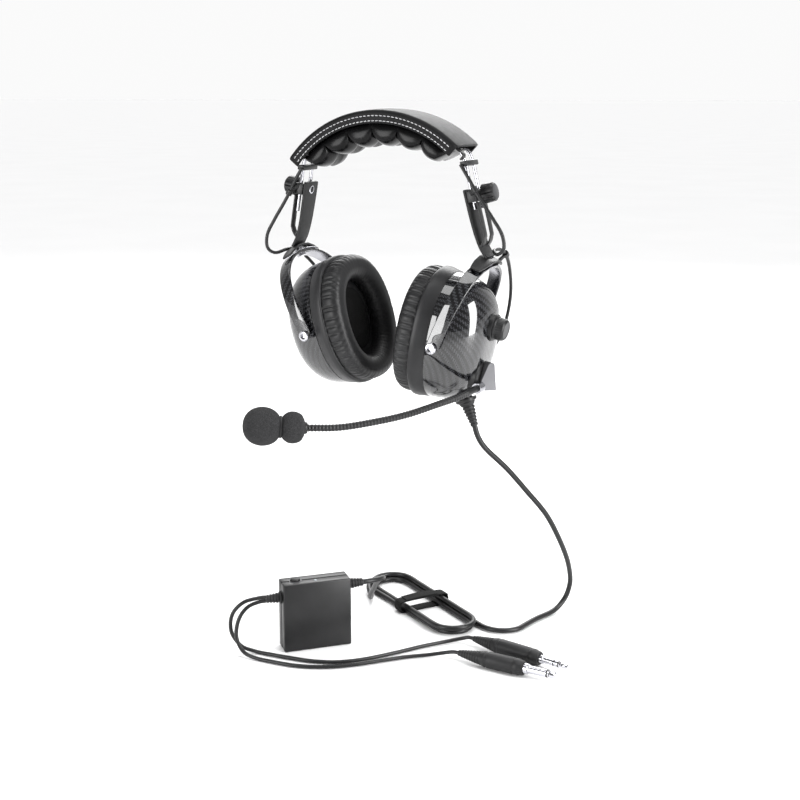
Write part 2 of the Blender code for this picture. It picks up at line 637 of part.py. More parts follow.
def make_volume_knob(shell, cup):
    outward = (0, math.pi / 2, 0)
    place = (0, 0, VOLUME_Z)
    drill(shell, VOLUME_RADIUS + CLEARANCE, 0.02, cup, (0.030, 0, VOLUME_Z), outward, 24)
    turned("volume_knob_base",
           ((0.0040, 0.0332), (0.0100, 0.0332), (VOLUME_RADIUS, 0.0322), (VOLUME_RADIUS, 0.0255),
            (0.0040, 0.0255)), PLASTIC, cup, place, outward, 24)
    turned("volume_knob",
           ((0.0, 0.0414), (0.0062, 0.0414), (0.0070, 0.0420), (0.0082, 0.0414), (0.0090, 0.0400),
            (0.0090, 0.0350), (0.0098, 0.0336), (0.0030, 0.0336), (0.0030, 0.0262), (0.0, 0.0262)),
           PLASTIC, cup, place, outward, 24)


def make_boom(shell, cup):
    """The boom turns on a disc in the dome: a wedge block, the gooseneck and the microphone."""
    outward = (0, math.pi / 2, 0)
    drill(shell, BOOM_BASE_RADIUS + CLEARANCE, 0.03, cup, (0.028, BOOM_AT[1], BOOM_AT[2]), outward, 24)
    turned("boom_base",
           ((0.0042, 0.0316), (0.0110, 0.0316), (BOOM_BASE_RADIUS, 0.0300),
            (BOOM_BASE_RADIUS, 0.0195), (0.0042, 0.0195)), PLASTIC, cup, BOOM_AT, outward, 24)
    boom = frame("boom_frame", cup, BOOM_AT, outward)
    along, across, rise = WEDGE_CROWN
    rings = [[(x, y, WEDGE_LOW) for x, y in WEDGE_OUTLINE],
             [(x, y, WEDGE_HIGH) for x, y in WEDGE_OUTLINE],
             [(x * along, y * across, WEDGE_HIGH + rise) for x, y in WEDGE_OUTLINE]]
    wedge = loft("boom_block", rings, GREY_PLASTIC, boom)
    stem = cylinder("boom_stem", STEM_RADIUS, STEM_LENGTH, PLASTIC, boom, (0, 0, STEM_CENTRE))
    add_boolean(wedge, as_cutter(stem), "UNION")
    tube("boom", smooth_line(BOOM_ROUTE, 0.0080), BOOM_RADIUS, PLASTIC, None, 3)
    last = Vector(BOOM_ROUTE[-1])
    heading = (Vector(WINDSCREEN_AT) - last).normalized()
    aim = heading.to_track_quat("Z", "Y").to_euler()
    make_microphone(last + heading * GAP, aim)


def make_microphone(at, aim):
    """The capsule at the boom's end and the two-lobed foam windscreen over it."""
    turned("mic_capsule",
           ((0.0, 0.0330), (0.0045, 0.0330), (0.0048, 0.0320), (0.0048, 0.0020), (0.0040, 0.0),
            (0.0, 0.0)), PLASTIC, None, at, aim, 20)
    turned("windscreen",
           ((0.0, 0.0470), (0.0080, 0.0450), (0.0130, 0.0400), (0.0138, 0.0320), (0.0122, 0.0245),
            (0.0078, 0.0200), (0.0100, 0.0160), (0.0112, 0.0100), (0.0094, 0.0042), (0.0062, 0.0025),
            (0.0053, 0.0026), (0.0053, 0.0338), (0.0, 0.0338)), FOAM, None, at, aim, 24)


def make_gland(shell, cup):
    """The cord's flange in the dome's lower edge and its tapered boot."""
    turn = (0, math.pi - GLAND_ANGLE, 0)
    drill(shell, 0.0056 + CLEARANCE, 0.03, cup, GLAND_AT, turn, 20)
    turned("cord_gland",
           ((0.0030, 0.0052), (0.0080, 0.0052), (0.0088, 0.0042), (0.0088, 0.0026), (0.0056, 0.0026),
            (0.0056, -0.0050), (0.0030, -0.0050)), PLASTIC, cup, GLAND_AT, turn)
    turned("cord_boot",
           ((0.0, 0.0255), (0.0031, 0.0255), (0.0034, 0.0200), (0.0048, 0.0120), (0.0064, 0.0065),
            (0.0068, 0.0055), (0.0, 0.0055)), RUBBER, cup, GLAND_AT, turn)


def make_side(side, s, root):
    arm = make_arm_frame(side, s, root)
    make_clamp(side, s, arm)
    make_arm(side, s, arm)
    fixed, swivel = make_yoke_frames(side, s, arm)
    make_foot(side, s, fixed)
    make_yoke(side, s, swivel)
    cup = frame(side + "_cup_frame", swivel, (0, 0, -YOKE_DROP), (0, s * (CUP_ANGLE - YOKE_ANGLE), 0))
    make_pivots(side, cup)
    shell = make_shell(side, s, cup)
    make_plate(side, s, cup)
    make_seal(side, s, cup)
    make_speaker(side, s, cup)
    lead = [(s * x, y, z) for x, y, z in LEAD_ROUTE]
    tube(side + "_ear_lead", smooth_line(lead, 0.0080), LEAD_RADIUS, RUBBER, root)
    if side == "left":
        make_volume_knob(shell, cup)
        make_boom(shell, cup)
        make_gland(shell, cup)


def make_box():
    """The control box stands on its edge: two shells, a board, a button and two glands."""
    length, depth, height = BOX_SIZE
    box = frame("box_frame", None, (*BOX_CORNER, TABLE_Z), (0, 0, BOX_TURN))
    half = depth / 2 - GAP / 2
    inner = (length - 2 * BOX_WALL, depth - 2 * BOX_WALL, height - 2 * BOX_WALL)
    centre = (length / 2, depth / 2, height / 2)
    for name, y in (("box_front", half / 2), ("box_back", depth - half / 2)):
        shell = block(name, (length, half, height), PLASTIC, box, (length / 2, y, height / 2),
                      bevel=0.0012)
        tool = block(name + "_hollow", inner, PLASTIC, box, centre, bevel=0)
        add_boolean(shell, as_cutter(tool), "DIFFERENCE")
        for x, z in ((length, BOX_OUTLET_Z), (0, BOX_INLET_Z)):
            drill(shell, 0.0040 + CLEARANCE, 0.012, box, (x, depth / 2, z), (0, math.pi / 2, 0))
        drill(shell, 0.0044, 0.012, box, (BUTTON_X, depth / 2, height))
    block("circuit_board", (length - 0.012, 0.0014, height - 0.016), BOARD, box,
          (length / 2, depth / 2 + 0.0030, height / 2 - 0.002), bevel=0)
    turned("box_button", ((0.0, 0.0024), (0.0036, 0.0024), (0.0040, 0.0018), (0.0040, -0.0050),
                          (0.0, -0.0050)), RUBBER, box, (BUTTON_X, depth / 2, height))
    outlet = ((0.0, 0.0125), (0.0032, 0.0125), (0.0042, 0.0060), (0.0052, 0.0004), (0.0040, 0.0003),
              (0.0040, -0.0040), (0.0, -0.0040))
    turned("box_outlet_gland", outlet, RUBBER, box, (length, depth / 2, BOX_OUTLET_Z),
           (0, math.pi / 2, 0))
    turned("box_inlet_gland", outlet, RUBBER, box, (0, depth / 2, BOX_INLET_Z), (0, -math.pi / 2, 0))


def make_hank():
    """The folded cord's outer shape, with round ends, and the strap that ties it."""
    curve = bpy.data.curves.new("cord_hank", "CURVE")
    curve.dimensions = "2D"
    curve.fill_mode = "BOTH"
    curve.extrude = HANK_HEIGHT / 2
    straight = HANK_LENGTH / 2 - HANK_RADIUS
    outline = []
    for end, start in ((1, -90), (-1, 90)):
        for step in range(9):
            angle = math.radians(start + 180 * step / 8)
            outline.append((end * straight + HANK_RADIUS * math.cos(angle), HANK_RADIUS * math.sin(angle)))
    line = curve.splines.new("POLY")
    line.points.add(len(outline) - 1)
    line.use_cyclic_u = True
    for item, (x, y) in zip(line.points, outline):
        item.co = (x, y, 0.0, 1.0)
    middle = (*HANK_CENTRE, TABLE_Z + HANK_HEIGHT / 2)
    put("cord_hank", curve, RUBBER, None, middle, (0, 0, HANK_TURN))
    side = HANK_RADIUS + GAP + 0.0007
    top = TABLE_Z + HANK_HEIGHT + GAP + 0.0007
    low = TABLE_Z + 0.0010
    tie = frame("tie_frame", None, (*HANK_CENTRE, 0), (0, 0, HANK_TURN))
    path = ((0, -side, low), (0, -side, top), (0, side, top), (0, side, low))
    ribbon("cord_tie", path, [0.0055] * len(path), 0.0012, (1, 0, 0), RUBBER, tie)


def make_plug(name, start, end, body_radius, pin_radius, pin_length):
    """A moulded plug body and its pin, laid from start towards end."""
    heading = (Vector(end) - Vector(start)).normalized()
    aim = heading.to_track_quat("Z", "Y").to_euler()
    length = (Vector(end) - Vector(start)).length
    turned(name + "_plug_body",
           ((0.0, length), (body_radius * 0.80, length), (body_radius * 0.86, length - 0.0030),
            (body_radius, length - 0.0060), (body_radius, 0.0260), (body_radius * 0.72, 0.0230),
            (body_radius * 0.44, 0.0010), (0.0022, 0.0), (0.0, 0.0)), RUBBER, None, start, aim)
    neck = pin_radius * 0.66
    at = Vector(end) + heading * GAP
    turned(name + "_plug_pin",
           ((0.0, pin_length), (pin_radius * 0.35, pin_length - 0.0004),
            (pin_radius * 0.95, pin_length - 0.0042), (neck, pin_length - 0.0066),
            (pin_radius, pin_length - 0.0080), (pin_radius, 0.0032), (pin_radius * 1.35, 0.0030),
            (pin_radius * 1.35, 0.0), (0.0, 0.0)), NICKEL, None, at, aim, 20)


def make_cords():
    tube("main_cord", smooth_line(MAIN_ROUTE, 0.0090), CORD_RADIUS, RUBBER, None)
    tube("box_cord", smooth_line(BOX_CORD_ROUTE, 0.0070), CORD_RADIUS, RUBBER, None)
    tube("headphone_cord", smooth_line(LOWER_ROUTE, 0.0080), THIN_RADIUS, RUBBER, None)
    tube("microphone_cord", smooth_line(UPPER_ROUTE, 0.0080), THIN_RADIUS, RUBBER, None)
    make_plug("microphone", *MICROPHONE_PLUG, PLUG_RADIUS, 0.0026, 0.0260)
    make_plug("headphone", *HEADPHONE_PLUG, PLUG_RADIUS, 0.00317, 0.0270)


def build():
    root = frame("headset_frame", None, turn=(0, -LEAN, 0))
    make_band(root)
    for side, s in SIDES.items():
        make_side(side, s, root)
    make_box()
    make_hank()
    make_cords()


build()
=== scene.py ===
"""Aviation headset: the looks, the cords and the soft parts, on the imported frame.

Metres, +Z up. The wearer faces -Y, and +X is the wearer's left. The headset stands over a table on
which the control box, the tied cord and the two plugs lie.
"""
import json
import math
import random

import bmesh
import bpy
from mathutils import Euler, Matrix, Vector


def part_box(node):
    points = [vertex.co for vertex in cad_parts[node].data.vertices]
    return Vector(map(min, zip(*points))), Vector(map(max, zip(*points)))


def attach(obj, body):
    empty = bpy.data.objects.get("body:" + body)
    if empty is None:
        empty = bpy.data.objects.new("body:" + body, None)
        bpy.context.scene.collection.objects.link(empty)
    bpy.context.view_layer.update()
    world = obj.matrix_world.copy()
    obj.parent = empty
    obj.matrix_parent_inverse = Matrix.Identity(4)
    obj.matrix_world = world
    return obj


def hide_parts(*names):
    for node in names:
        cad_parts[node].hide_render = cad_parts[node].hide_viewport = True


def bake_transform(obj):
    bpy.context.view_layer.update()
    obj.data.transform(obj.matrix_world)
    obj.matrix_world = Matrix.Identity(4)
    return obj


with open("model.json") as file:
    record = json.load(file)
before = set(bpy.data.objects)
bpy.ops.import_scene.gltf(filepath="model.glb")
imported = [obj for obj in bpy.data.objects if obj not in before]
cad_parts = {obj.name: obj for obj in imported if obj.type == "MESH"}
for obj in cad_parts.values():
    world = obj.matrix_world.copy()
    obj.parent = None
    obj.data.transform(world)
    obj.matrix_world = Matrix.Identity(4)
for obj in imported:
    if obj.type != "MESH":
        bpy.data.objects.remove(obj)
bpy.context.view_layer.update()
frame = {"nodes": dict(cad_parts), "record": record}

SIDES = {"left": 1, "right": -1}
TABLE_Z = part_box("cord_hank")[0][2]
GAP = 0.0003

# The headset's frames: lean, slides, yokes and cups
LEAN = math.radians(2.5)
SLIDE_ANGLE = math.radians(12)
SLIDE_X = 0.0761
SLIDE_Z = 0.120
CLAMP_Z = {"left": 0.1155, "right": 0.1235}
YOKE_TOP = (-0.0038, -0.0537)
YOKE_ANGLE = math.radians(26.4)
YOKE_DROP = 0.067
ARM_WIDTH = 0.021
ARM_THICKNESS = 0.0022
YOKE_HALF_SPAN = 0.0435
YOKE_WIDTH = 0.011
YOKE_THICKNESS = 0.0024
RIGHT_SWIVEL = math.radians(-6)
CUP_ANGLE = math.radians(13)
CUP_CENTRE_Z = 0.002

# Head pad
BAND_CENTRE_Z = 0.0835
COVER_RADIUS = 0.101
COVER_THICKNESS = 0.0022
COVER_FOLD = 0.0105             # how far the cover's long edges hang below its top
COVER_CORNER = 0.0030
PAD_HALF_ANGLE = math.radians(47.5)
PAD_SHIFT = math.radians(2.3)
PAD_WIDTH = 0.046
ROD_ARC_RADIUS = 0.0955
ROD_ARC_ANGLE = math.radians(31)
ROD_RADIUS = 0.0015
ROD_Y = 0.0075
ROD_END_Z = 0.1055
BEND_Z = 0.1415
LOBES = 6
LOBE_DEPTH = 0.0215
LOBE_SEAM_DEPTH = 0.0125

# Cups
SEAL_HALF = (0.0425, 0.0530)
SEAL_OPENING = (0.0225, 0.0305)
SEAL_INNER_X = -0.0355
PLATE_X = -0.0200
PLATE_HALF = (0.0430, 0.0535)
DOME_X = -0.0070
DOME_DEPTH = 0.038
DOME_HALF = (0.0400, 0.0515)
DOME_WALL = 0.0020
OVAL_POWER = 2.2
DOME_CURVE = (0.62, 0.9)         # powers that shape the dome from its rim to its top
WEAVE = "weave"                 # the UV map that carries unwrapped lengths in metres
PLEATS = 62
PLEAT_DRAW = 0.0015              # how far a full pleat draws the seal's wall in
PLEAT_SINK = 0.0005              # how far it sinks the face
TOW = 0.0018                     # width of one tow of the carbon cloth
VOLUME_Z = 0.018
VOLUME_RADIUS = 0.0110
BOOM_AT = (0.0, -0.006, -0.022)
BOOM_BASE_RADIUS = 0.0125
GLAND_AT = (0.0190, -0.003, -0.0420)
GLAND_ANGLE = math.radians(31)
KNOB_RADIUS = 0.0078
SHAFT_RADIUS = 0.0020

# Boom
BOOM_RADIUS = 0.0027
BOOM_STUB = 0.019               # smooth length before the ribs start
RIB_PITCH = 0.0026
BOOM_ROUTE = ((0.0835, -0.0150, -0.0290), (0.0818, -0.0240, -0.0297), (0.0775, -0.0430, -0.0318),
              (0.0692, -0.0620, -0.0342), (0.0538, -0.0880, -0.0387), (0.0372, -0.1100, -0.0412),
              (0.0191, -0.1280, -0.0430), (0.0001, -0.1420, -0.0424))
WINDSCREEN_AT = (-0.0160, -0.1525, -0.0410)

# Control box, cords and plugs
BOX_CORNER = (-0.0533, -0.0924)
BOX_TURN = math.radians(44.3)
BOX_SIZE = (0.057, 0.019, 0.058)
BOX_OUTLET_Z = 0.050
BOX_INLET_Z = 0.045
BUTTON_X = 0.012
CORD_RADIUS = 0.00225
THIN_RADIUS = 0.0016
LEAD_RADIUS = 0.0014
HANK_CENTRE = (0.006, 0.046)
HANK_TURN = math.radians(-35)
HANK_STRAIGHT = 0.052           # from the middle of the hank to the centre of each end
HANK_TURNS = ((0.0206, 0.0), (0.0158, 0.0), (0.0182, 0.0044))   # radius and height of each turn
HANK_LEAVE = math.radians(215)
PLUG_RADIUS = 0.0066
RING_LENGTH = 0.0011             # of each insulating ring on a plug's pin
TERMINAL_DEPTH = 0.038           # how far a thin cord runs on inside its plug's handle
MAIN_ROUTE = ((0.0746, -0.0030, -0.0645), (0.0766, -0.0025, -0.0715), (0.0798, -0.0003, -0.0790),
              (0.0845, 0.0045, -0.0868), (0.0950, 0.0180, -0.1030), (0.1060, 0.0350, -0.1250),
              (0.1180, 0.0520, -0.1490), (0.1250, 0.0680, -0.1750), (0.1275, 0.0840, -0.1985),
              (0.1270, 0.0950, -0.2170), (0.1255, 0.0985, -0.2280), (0.1230, 0.0962, -0.2378),
              (0.1192, 0.0890, -0.2448), (0.1155, 0.0790, -0.2474), (0.1090, 0.0600, -0.2474),
              (0.1049, 0.0422, -0.2474), (0.1021, 0.0317, -0.2474), (0.0944, 0.0240, -0.2474),
              (0.0839, 0.0212, -0.2474), (0.0719, 0.0250, -0.2474))
BOX_CORD_ROUTE = ((-0.0098, -0.0367, -0.2000), (-0.0067, -0.0337, -0.2000), (-0.0027, -0.0273, -0.2003),
                  (-0.0013, -0.0196, -0.2014), (-0.0034, -0.0120, -0.2038), (-0.0085, -0.0050, -0.2076),
                  (-0.0170, 0.0045, -0.2150), (-0.0280, 0.0180, -0.2290), (-0.0375, 0.0300, -0.2410),
                  (-0.0430, 0.0430, -0.2470))
UPPER_ROUTE = ((-0.0693, -0.0946, -0.2033), (-0.0730, -0.0982, -0.2033), (-0.0830, -0.1065, -0.2060),
               (-0.0910, -0.1110, -0.2160), (-0.0930, -0.1105, -0.2310), (-0.0870, -0.1065, -0.2440),
               (-0.0750, -0.1035, -0.2481), (-0.0590, -0.1030, -0.2482), (-0.0420, -0.1020, -0.2482),
               (-0.0230, -0.0995, -0.2482), (-0.0040, -0.0920, -0.2482), (0.0130, -0.0770, -0.2482),
               (0.0290, -0.0560, -0.2482), (0.0440, -0.0340, -0.2482), (0.0580, -0.0180, -0.2478),
               (0.0690, -0.0116, -0.2455), (0.0750, -0.0108, -0.2437), (0.0797, -0.0117, -0.2433))
LOWER_ROUTE = ((-0.0693, -0.0946, -0.2067), (-0.0730, -0.0982, -0.2068), (-0.0800, -0.1055, -0.2100),
               (-0.0850, -0.1110, -0.2195), (-0.0855, -0.1145, -0.2330), (-0.0790, -0.1150, -0.2445),
               (-0.0680, -0.1145, -0.2481), (-0.0500, -0.1145, -0.2482), (-0.0300, -0.1125, -0.2482),
               (-0.0100, -0.1050, -0.2482), (0.0090, -0.0915, -0.2482), (0.0260, -0.0740, -0.2482),
               (0.0410, -0.0590, -0.2482), (0.0560, -0.0480, -0.2478), (0.0680, -0.0434, -0.2455),
               (0.0750, -0.0430, -0.2437), (0.0797, -0.0434, -0.2433))
MICROPHONE_PLUG = ((0.0800, -0.0118, -0.2433), (0.1430, -0.0254, -0.2433))
HEADPHONE_PLUG = ((0.0800, -0.0434, -0.2433), (0.1380, -0.0475, -0.2433))
LEAD_ROUTE = ((0.0700, -0.0130, 0.1400), (0.0765, -0.0140, 0.1300), (0.0855, -0.0150, 0.1150),
              (0.0960, -0.0160, 0.1000), (0.1040, -0.0165, 0.0870), (0.1050, -0.0160, 0.0760),
              (0.0990, -0.0140, 0.0715), (0.0930, -0.0060, 0.0735), (0.0925, 0.0060, 0.0735),
              (0.0930, 0.0180, 0.0690), (0.0900, 0.0340, 0.0560), (0.0850, 0.0490, 0.0360),
              (0.0800, 0.0540, 0.0160), (0.0750, 0.0500, -0.0020), (0.0700, 0.0440, -0.0120))
LEAD_CUTS = (3, 9)              # route points where the lead is held by the arm and by the yoke
LEAD_FINE = 16                   # steps of the lead's line between two route points
CLIP_STEPS = (26, LEAD_CUTS[1] * LEAD_FINE + 1)   # steps of that line in the clamp's and the yoke's clips
STITCH_ROWS = ((0.0052, 4), (COVER_FOLD - 0.0014, -4))   # drop below the cover's top, slant in degrees

# Camera
CAMERA_AT = (0.4603, -0.9437, 0.195)
CAMERA_TURN = (math.radians(76.8), 0.0, math.radians(26))
CAMERA_LENS = 58.59
CAMERA_SHIFT = 0.00875

# Light: each panel's name, place, size and power; the overhead light's strength and spread
BACKDROP = (-0.44, 0.90, 0.0)    # the way to the lit backdrop
ROOM = (("From Min", 0.0), ("From Max", 0.8), ("To Min", 0.20), ("To Max", 0.96))
PANELS = (("front_panel", (-0.62, -1.30, 0.17), (0.7, 0.8), 17),
          ("side_panel", (1.35, -0.22, 0.30), (0.6, 1.5), 42),
          ("rear_panel", (-0.5, 1.7, 1.1), (1.6, 0.9), 32))
OVERHEAD = (2.45, math.radians(50))


# ---------------------------------------------------------------- frames

def step(at=(0, 0, 0), turn=(0, 0, 0)):
    return Matrix.Translation(at) @ Euler(turn).to_matrix().to_4x4()


def aimed(at, heading):
    """A frame at a point, with its z along the heading."""
    return Matrix.Translation(at) @ heading.to_track_quat("Z", "Y").to_matrix().to_4x4()


def slide_x(z):
    return SLIDE_X + (SLIDE_Z - z) * math.tan(SLIDE_ANGLE)


def side_frames(side, s):
    """The arm's, the foot's, the yoke's and the cup's own frames, in the row frame."""
    z = CLAMP_Z[side]
    swivel = RIGHT_SWIVEL if side == "right" else 0.0
    arm = HEADSET @ step((s * slide_x(z), 0, z), (0, -s * SLIDE_ANGLE, 0))
    foot = arm @ step((s * YOKE_TOP[0], 0, YOKE_TOP[1]), (0, s * (YOKE_ANGLE + SLIDE_ANGLE), 0))
    yoke = foot @ step(turn=(0, 0, swivel))
    cup = yoke @ step((0, 0, -YOKE_DROP), (0, s * (CUP_ANGLE - YOKE_ANGLE), 0))
    return {"arm": arm, "foot": foot, "yoke": yoke, "cup": cup}


HEADSET = step(turn=(0, -LEAN, 0))
FRAMES = {side: side_frames(side, s) for side, s in SIDES.items()}
BOX = step((*BOX_CORNER, TABLE_Z), (0, 0, BOX_TURN))
HANK = step((*HANK_CENTRE, TABLE_Z), (0, 0, HANK_TURN))
OUTWARD = step(turn=(0, math.pi / 2, 0))


# ---------------------------------------------------------------- materials

class Look:
    """A node material: a Principled shader fed by procedural textures in object coordinates."""

    def __init__(self, name, roughness, metallic=0.0, **sockets):
        self.material = bpy.data.materials.new(name)
        self.material.use_nodes = True
        self.tree = self.material.node_tree
        self.shader = self.tree.nodes["Principled BSDF"]
        self.shader.inputs["Roughness"].default_value = roughness
        self.shader.inputs["Metallic"].default_value = metallic
        self.shader.inputs["Specular IOR Level"].default_value = 0.3
        for socket, value in sockets.items():
            self.shader.inputs[socket.replace("_", " ")].default_value = value
        self.place = self.add("ShaderNodeTexCoord").outputs["Object"]

    def add(self, kind, **settings):
        node = self.tree.nodes.new(kind)
        for key, value in settings.items():
            setattr(node, key, value)
        return node

    def link(self, source, target):
        self.tree.links.new(source, target)

    def maths(self, operation, first, second=None):
        node = self.add("ShaderNodeMath", operation=operation)
        for slot, value in enumerate((first, second)):
            if value is None:
                continue
            if isinstance(value, (int, float)):
                node.inputs[slot].default_value = value
            else:
                self.link(value, node.inputs[slot])
        return node.outputs[0]

    def along(self, direction, scale):
        """Distance along a direction, in units of 1 / scale."""
        node = self.add("ShaderNodeVectorMath", operation="DOT_PRODUCT")
        self.link(self.place, node.inputs[0])
        node.inputs[1].default_value = Vector(direction) * scale
        return node.outputs["Value"]

    def noise(self, scale, detail=3.0, stretch=None):
        node = self.add("ShaderNodeTexNoise")
        node.inputs["Scale"].default_value = scale
        node.inputs["Detail"].default_value = detail
        self.link(self.stretched(stretch), node.inputs["Vector"])
        return node.outputs["Fac"]

    def cells(self, scale, feature="F1"):
        node = self.add("ShaderNodeTexVoronoi", feature=feature)
        node.inputs["Scale"].default_value = scale
        self.link(self.place, node.inputs["Vector"])
        return node.outputs["Distance"]

    def stretched(self, factors):
        if factors is None:
            return self.place
        node = self.add("ShaderNodeMapping")
        node.inputs["Scale"].default_value = factors
        self.link(self.place, node.inputs["Vector"])
        return node.outputs["Vector"]

    def colours(self, value, stops):
        """Base colour from a value, by colour stops (position, (r, g, b))."""
        ramp = self.add("ShaderNodeValToRGB")
        parts = ramp.color_ramp.elements
        while len(parts) < len(stops):
            parts.new(0.5)
        for part, (position, colour) in zip(parts, stops):
            part.position = position
            part.color = (*colour, 1.0)
        self.link(value, ramp.inputs["Fac"])
        self.link(ramp.outputs["Color"], self.shader.inputs["Base Color"])

    def rough(self, value, low, high):
        spread = self.add("ShaderNodeMapRange")
        spread.inputs["To Min"].default_value = low
        spread.inputs["To Max"].default_value = high
        self.link(value, spread.inputs["Value"])
        self.link(spread.outputs["Result"], self.shader.inputs["Roughness"])

    def bumps(self, *layers):
        """Stacked bumps, each (height, strength, distance)."""
        below = None
        for height, strength, distance in layers:
            node = self.add("ShaderNodeBump")
            node.inputs["Strength"].default_value = strength
            node.inputs["Distance"].default_value = distance
            self.link(height, node.inputs["Height"])
            if below is not None:
                self.link(below, node.inputs["Normal"])
            below = node.outputs["Normal"]
        self.link(below, self.shader.inputs["Normal"])
        return self.material


def shades(dark, light):
    return ((0.30, (dark, dark, dark * 1.06)), (0.72, (light, light, light * 1.06)))


def leather(name, dark, light, low, high, grain, gloss):
    look = Look(name, low, Specular_IOR_Level=gloss)
    look.colours(look.noise(60.0), shades(dark, light))
    look.rough(look.noise(240.0), low, high)
    return look.bumps((look.noise(120.0, 3.0), 0.12, 0.0005),
                      (look.cells(1250.0, "DISTANCE_TO_EDGE"), grain, 0.00012))


def moulded(name, dark, light, low, high, grain, strength):
    look = Look(name, low)
    look.colours(look.noise(45.0), shades(dark, light))
    look.rough(look.noise(320.0), low, high)
    return look.bumps((look.noise(grain, 2.0), strength, 0.00012))


def metal(name, dark, light, low, high, stretch):
    look = Look(name, low, 1.0)
    look.colours(look.noise(90.0), shades(dark, light))
    look.rough(look.noise(900.0, 2.0, stretch), low, high)
    return look.bumps((look.noise(1500.0, 2.0, stretch), 0.02, 0.00002))


def foam(name, dark, light, pores):
    look = Look(name, 0.95)
    cells = look.cells(pores)
    # Painted shade in the pores: each cell is darkest at its middle, where the bump sinks deepest.
    look.colours(cells, ((0.05, (dark, dark, dark)), (0.75, (light, light, light * 1.05))))
    return look.bumps((look.noise(500.0), 0.5, 0.0008), (cells, 0.9, 0.0006))


def cloth(name, dark, light, pitch):
    """A plain knit: two crossed waves of raised threads."""
    look = Look(name, 0.9)
    threads = [look.maths("SINE", look.along(axis, 2 * math.pi / pitch)) for axis in ((0, 1, 0), (0, 0, 1))]
    weave = look.maths("MULTIPLY", *threads)
    # Painted shade between the threads: the colour is darker where the weave sinks and lighter where it
    # rises.
    look.colours(weave, ((0.2, (dark, dark, dark)), (0.9, (light, light, light))))
    return look.bumps((weave, 0.6, 0.0003))


def twill():
    """Clear-coated 2x2 twill on unwrapped lengths: tows pass over two and under two, stepped by one a row."""
    look = Look("twill", 0.30, Specular_IOR_Level=0.1, Coat_Weight=1.0, Coat_Roughness=0.03, Coat_IOR=1.7)
    lengths = look.add("ShaderNodeSeparateXYZ")
    look.link(look.add("ShaderNodeUVMap", uv_map=WEAVE).outputs["UV"], lengths.inputs[0])
    u, v = (look.maths("DIVIDE", lengths.outputs[axis], TOW) for axis in ("X", "Y"))
    row = look.maths("ADD", look.maths("FLOOR", u), look.maths("FLOOR", v))
    over = look.maths("LESS_THAN", look.maths("FLOORED_MODULO", row, 4.0), 2.0)
    under = look.maths("SUBTRACT", 1.0, over)
    tows = [look.maths("SINE", look.maths("MULTIPLY", look.maths("FRACT", w), math.pi)) for w in (u, v)]
    height = look.maths("ADD", look.maths("MULTIPLY", tows[0], over), look.maths("MULTIPLY", tows[1], under))
    # Painted sheen: the colour makes the warp tows lighter than the weft tows and each tow lightest along its
    # crown, where light would glance off the black fibre.
    painted_tow_sheen = look.maths("MULTIPLY", height, look.maths("ADD", look.maths("MULTIPLY", over, 0.85), 0.15))
    look.colours(painted_tow_sheen, ((0.10, (0.0015, 0.0015, 0.002)), (0.95, (0.024, 0.025, 0.028))))
    look.rough(over, 0.24, 0.42)
    return look.bumps((height, 0.30, 0.00025))


def thread(name):
    look = Look(name, 0.7)
    look.colours(look.noise(900.0), ((0.3, (0.30, 0.30, 0.31)), (0.7, (0.52, 0.52, 0.53))))
    return look.bumps((look.noise(4000.0), 0.4, 0.0001))


def circuit():
    look = Look("circuit_board", 0.45)
    look.colours(look.cells(260.0), ((0.25, (0.02, 0.12, 0.05)), (0.6, (0.04, 0.20, 0.09))))
    return look.bumps((look.cells(500.0), 0.2, 0.0001))


def lamp():
    look = Look("indicator", 0.2, 0.0, Coat_Weight=0.5)
    look.colours(look.noise(2000.0), ((0.3, (0.20, 0.22, 0.24)), (0.7, (0.42, 0.45, 0.48))))
    return look.bumps((look.noise(3000.0), 0.1, 0.0001))


def floor_look():
    look = Look("pale_floor", 0.6)
    look.colours(look.noise(3.0), ((0.3, (0.79, 0.79, 0.792)), (0.7, (0.81, 0.81, 0.812))))
    return look.bumps((look.noise(400.0), 0.02, 0.0002))


def make_looks():
    return {
        "black_leather": leather("leather", 0.0045, 0.0085, 0.46, 0.58, 0.25, 0.11),
        "pad_leather": leather("pad_leather", 0.0025, 0.0050, 0.18, 0.28, 0.08, 0.13),
        "seal_leather": leather("seal_leather", 0.0075, 0.0135, 0.38, 0.50, 0.10, 0.28),
        "bright_steel": metal("bright_steel", 0.30, 0.42, 0.16, 0.28, (1, 1, 14)),
        "nickel": metal("nickel", 0.50, 0.62, 0.12, 0.22, (1, 1, 1)),
        "black_plastic": moulded("black_plastic", 0.0060, 0.0110, 0.32, 0.44, 2600.0, 0.25),
        "flange_plastic": moulded("flange_plastic", 0.0110, 0.0170, 0.38, 0.48, 3200.0, 0.12),
        "grained_plastic": moulded("grained_plastic", 0.0060, 0.0130, 0.50, 0.62, 1500.0, 0.60),
        "grey_plastic": moulded("grey_plastic", 0.105, 0.140, 0.34, 0.46, 2600.0, 0.15),
        "dark_grey_plastic": moulded("dark_grey_plastic", 0.022, 0.034, 0.32, 0.44, 2600.0, 0.15),
        "knob_face": moulded("knob_face", 0.028, 0.045, 0.30, 0.42, 2600.0, 0.15),
        "black_rubber": moulded("black_rubber", 0.0060, 0.0120, 0.44, 0.58, 2200.0, 0.25),
        "cord_rubber": moulded("cord_rubber", 0.0060, 0.0110, 0.30, 0.42, 2800.0, 0.12),
        "black_foam": foam("foam", 0.006, 0.026, 1500.0),
        "ear_cloth": cloth("ear_cloth", 0.002, 0.007, 0.0014),
        "carbon_weave": twill(),
        "green_board": circuit(),
        "thread": thread("thread"),
        "indicator": lamp(),
    }


LOOKS = make_looks()


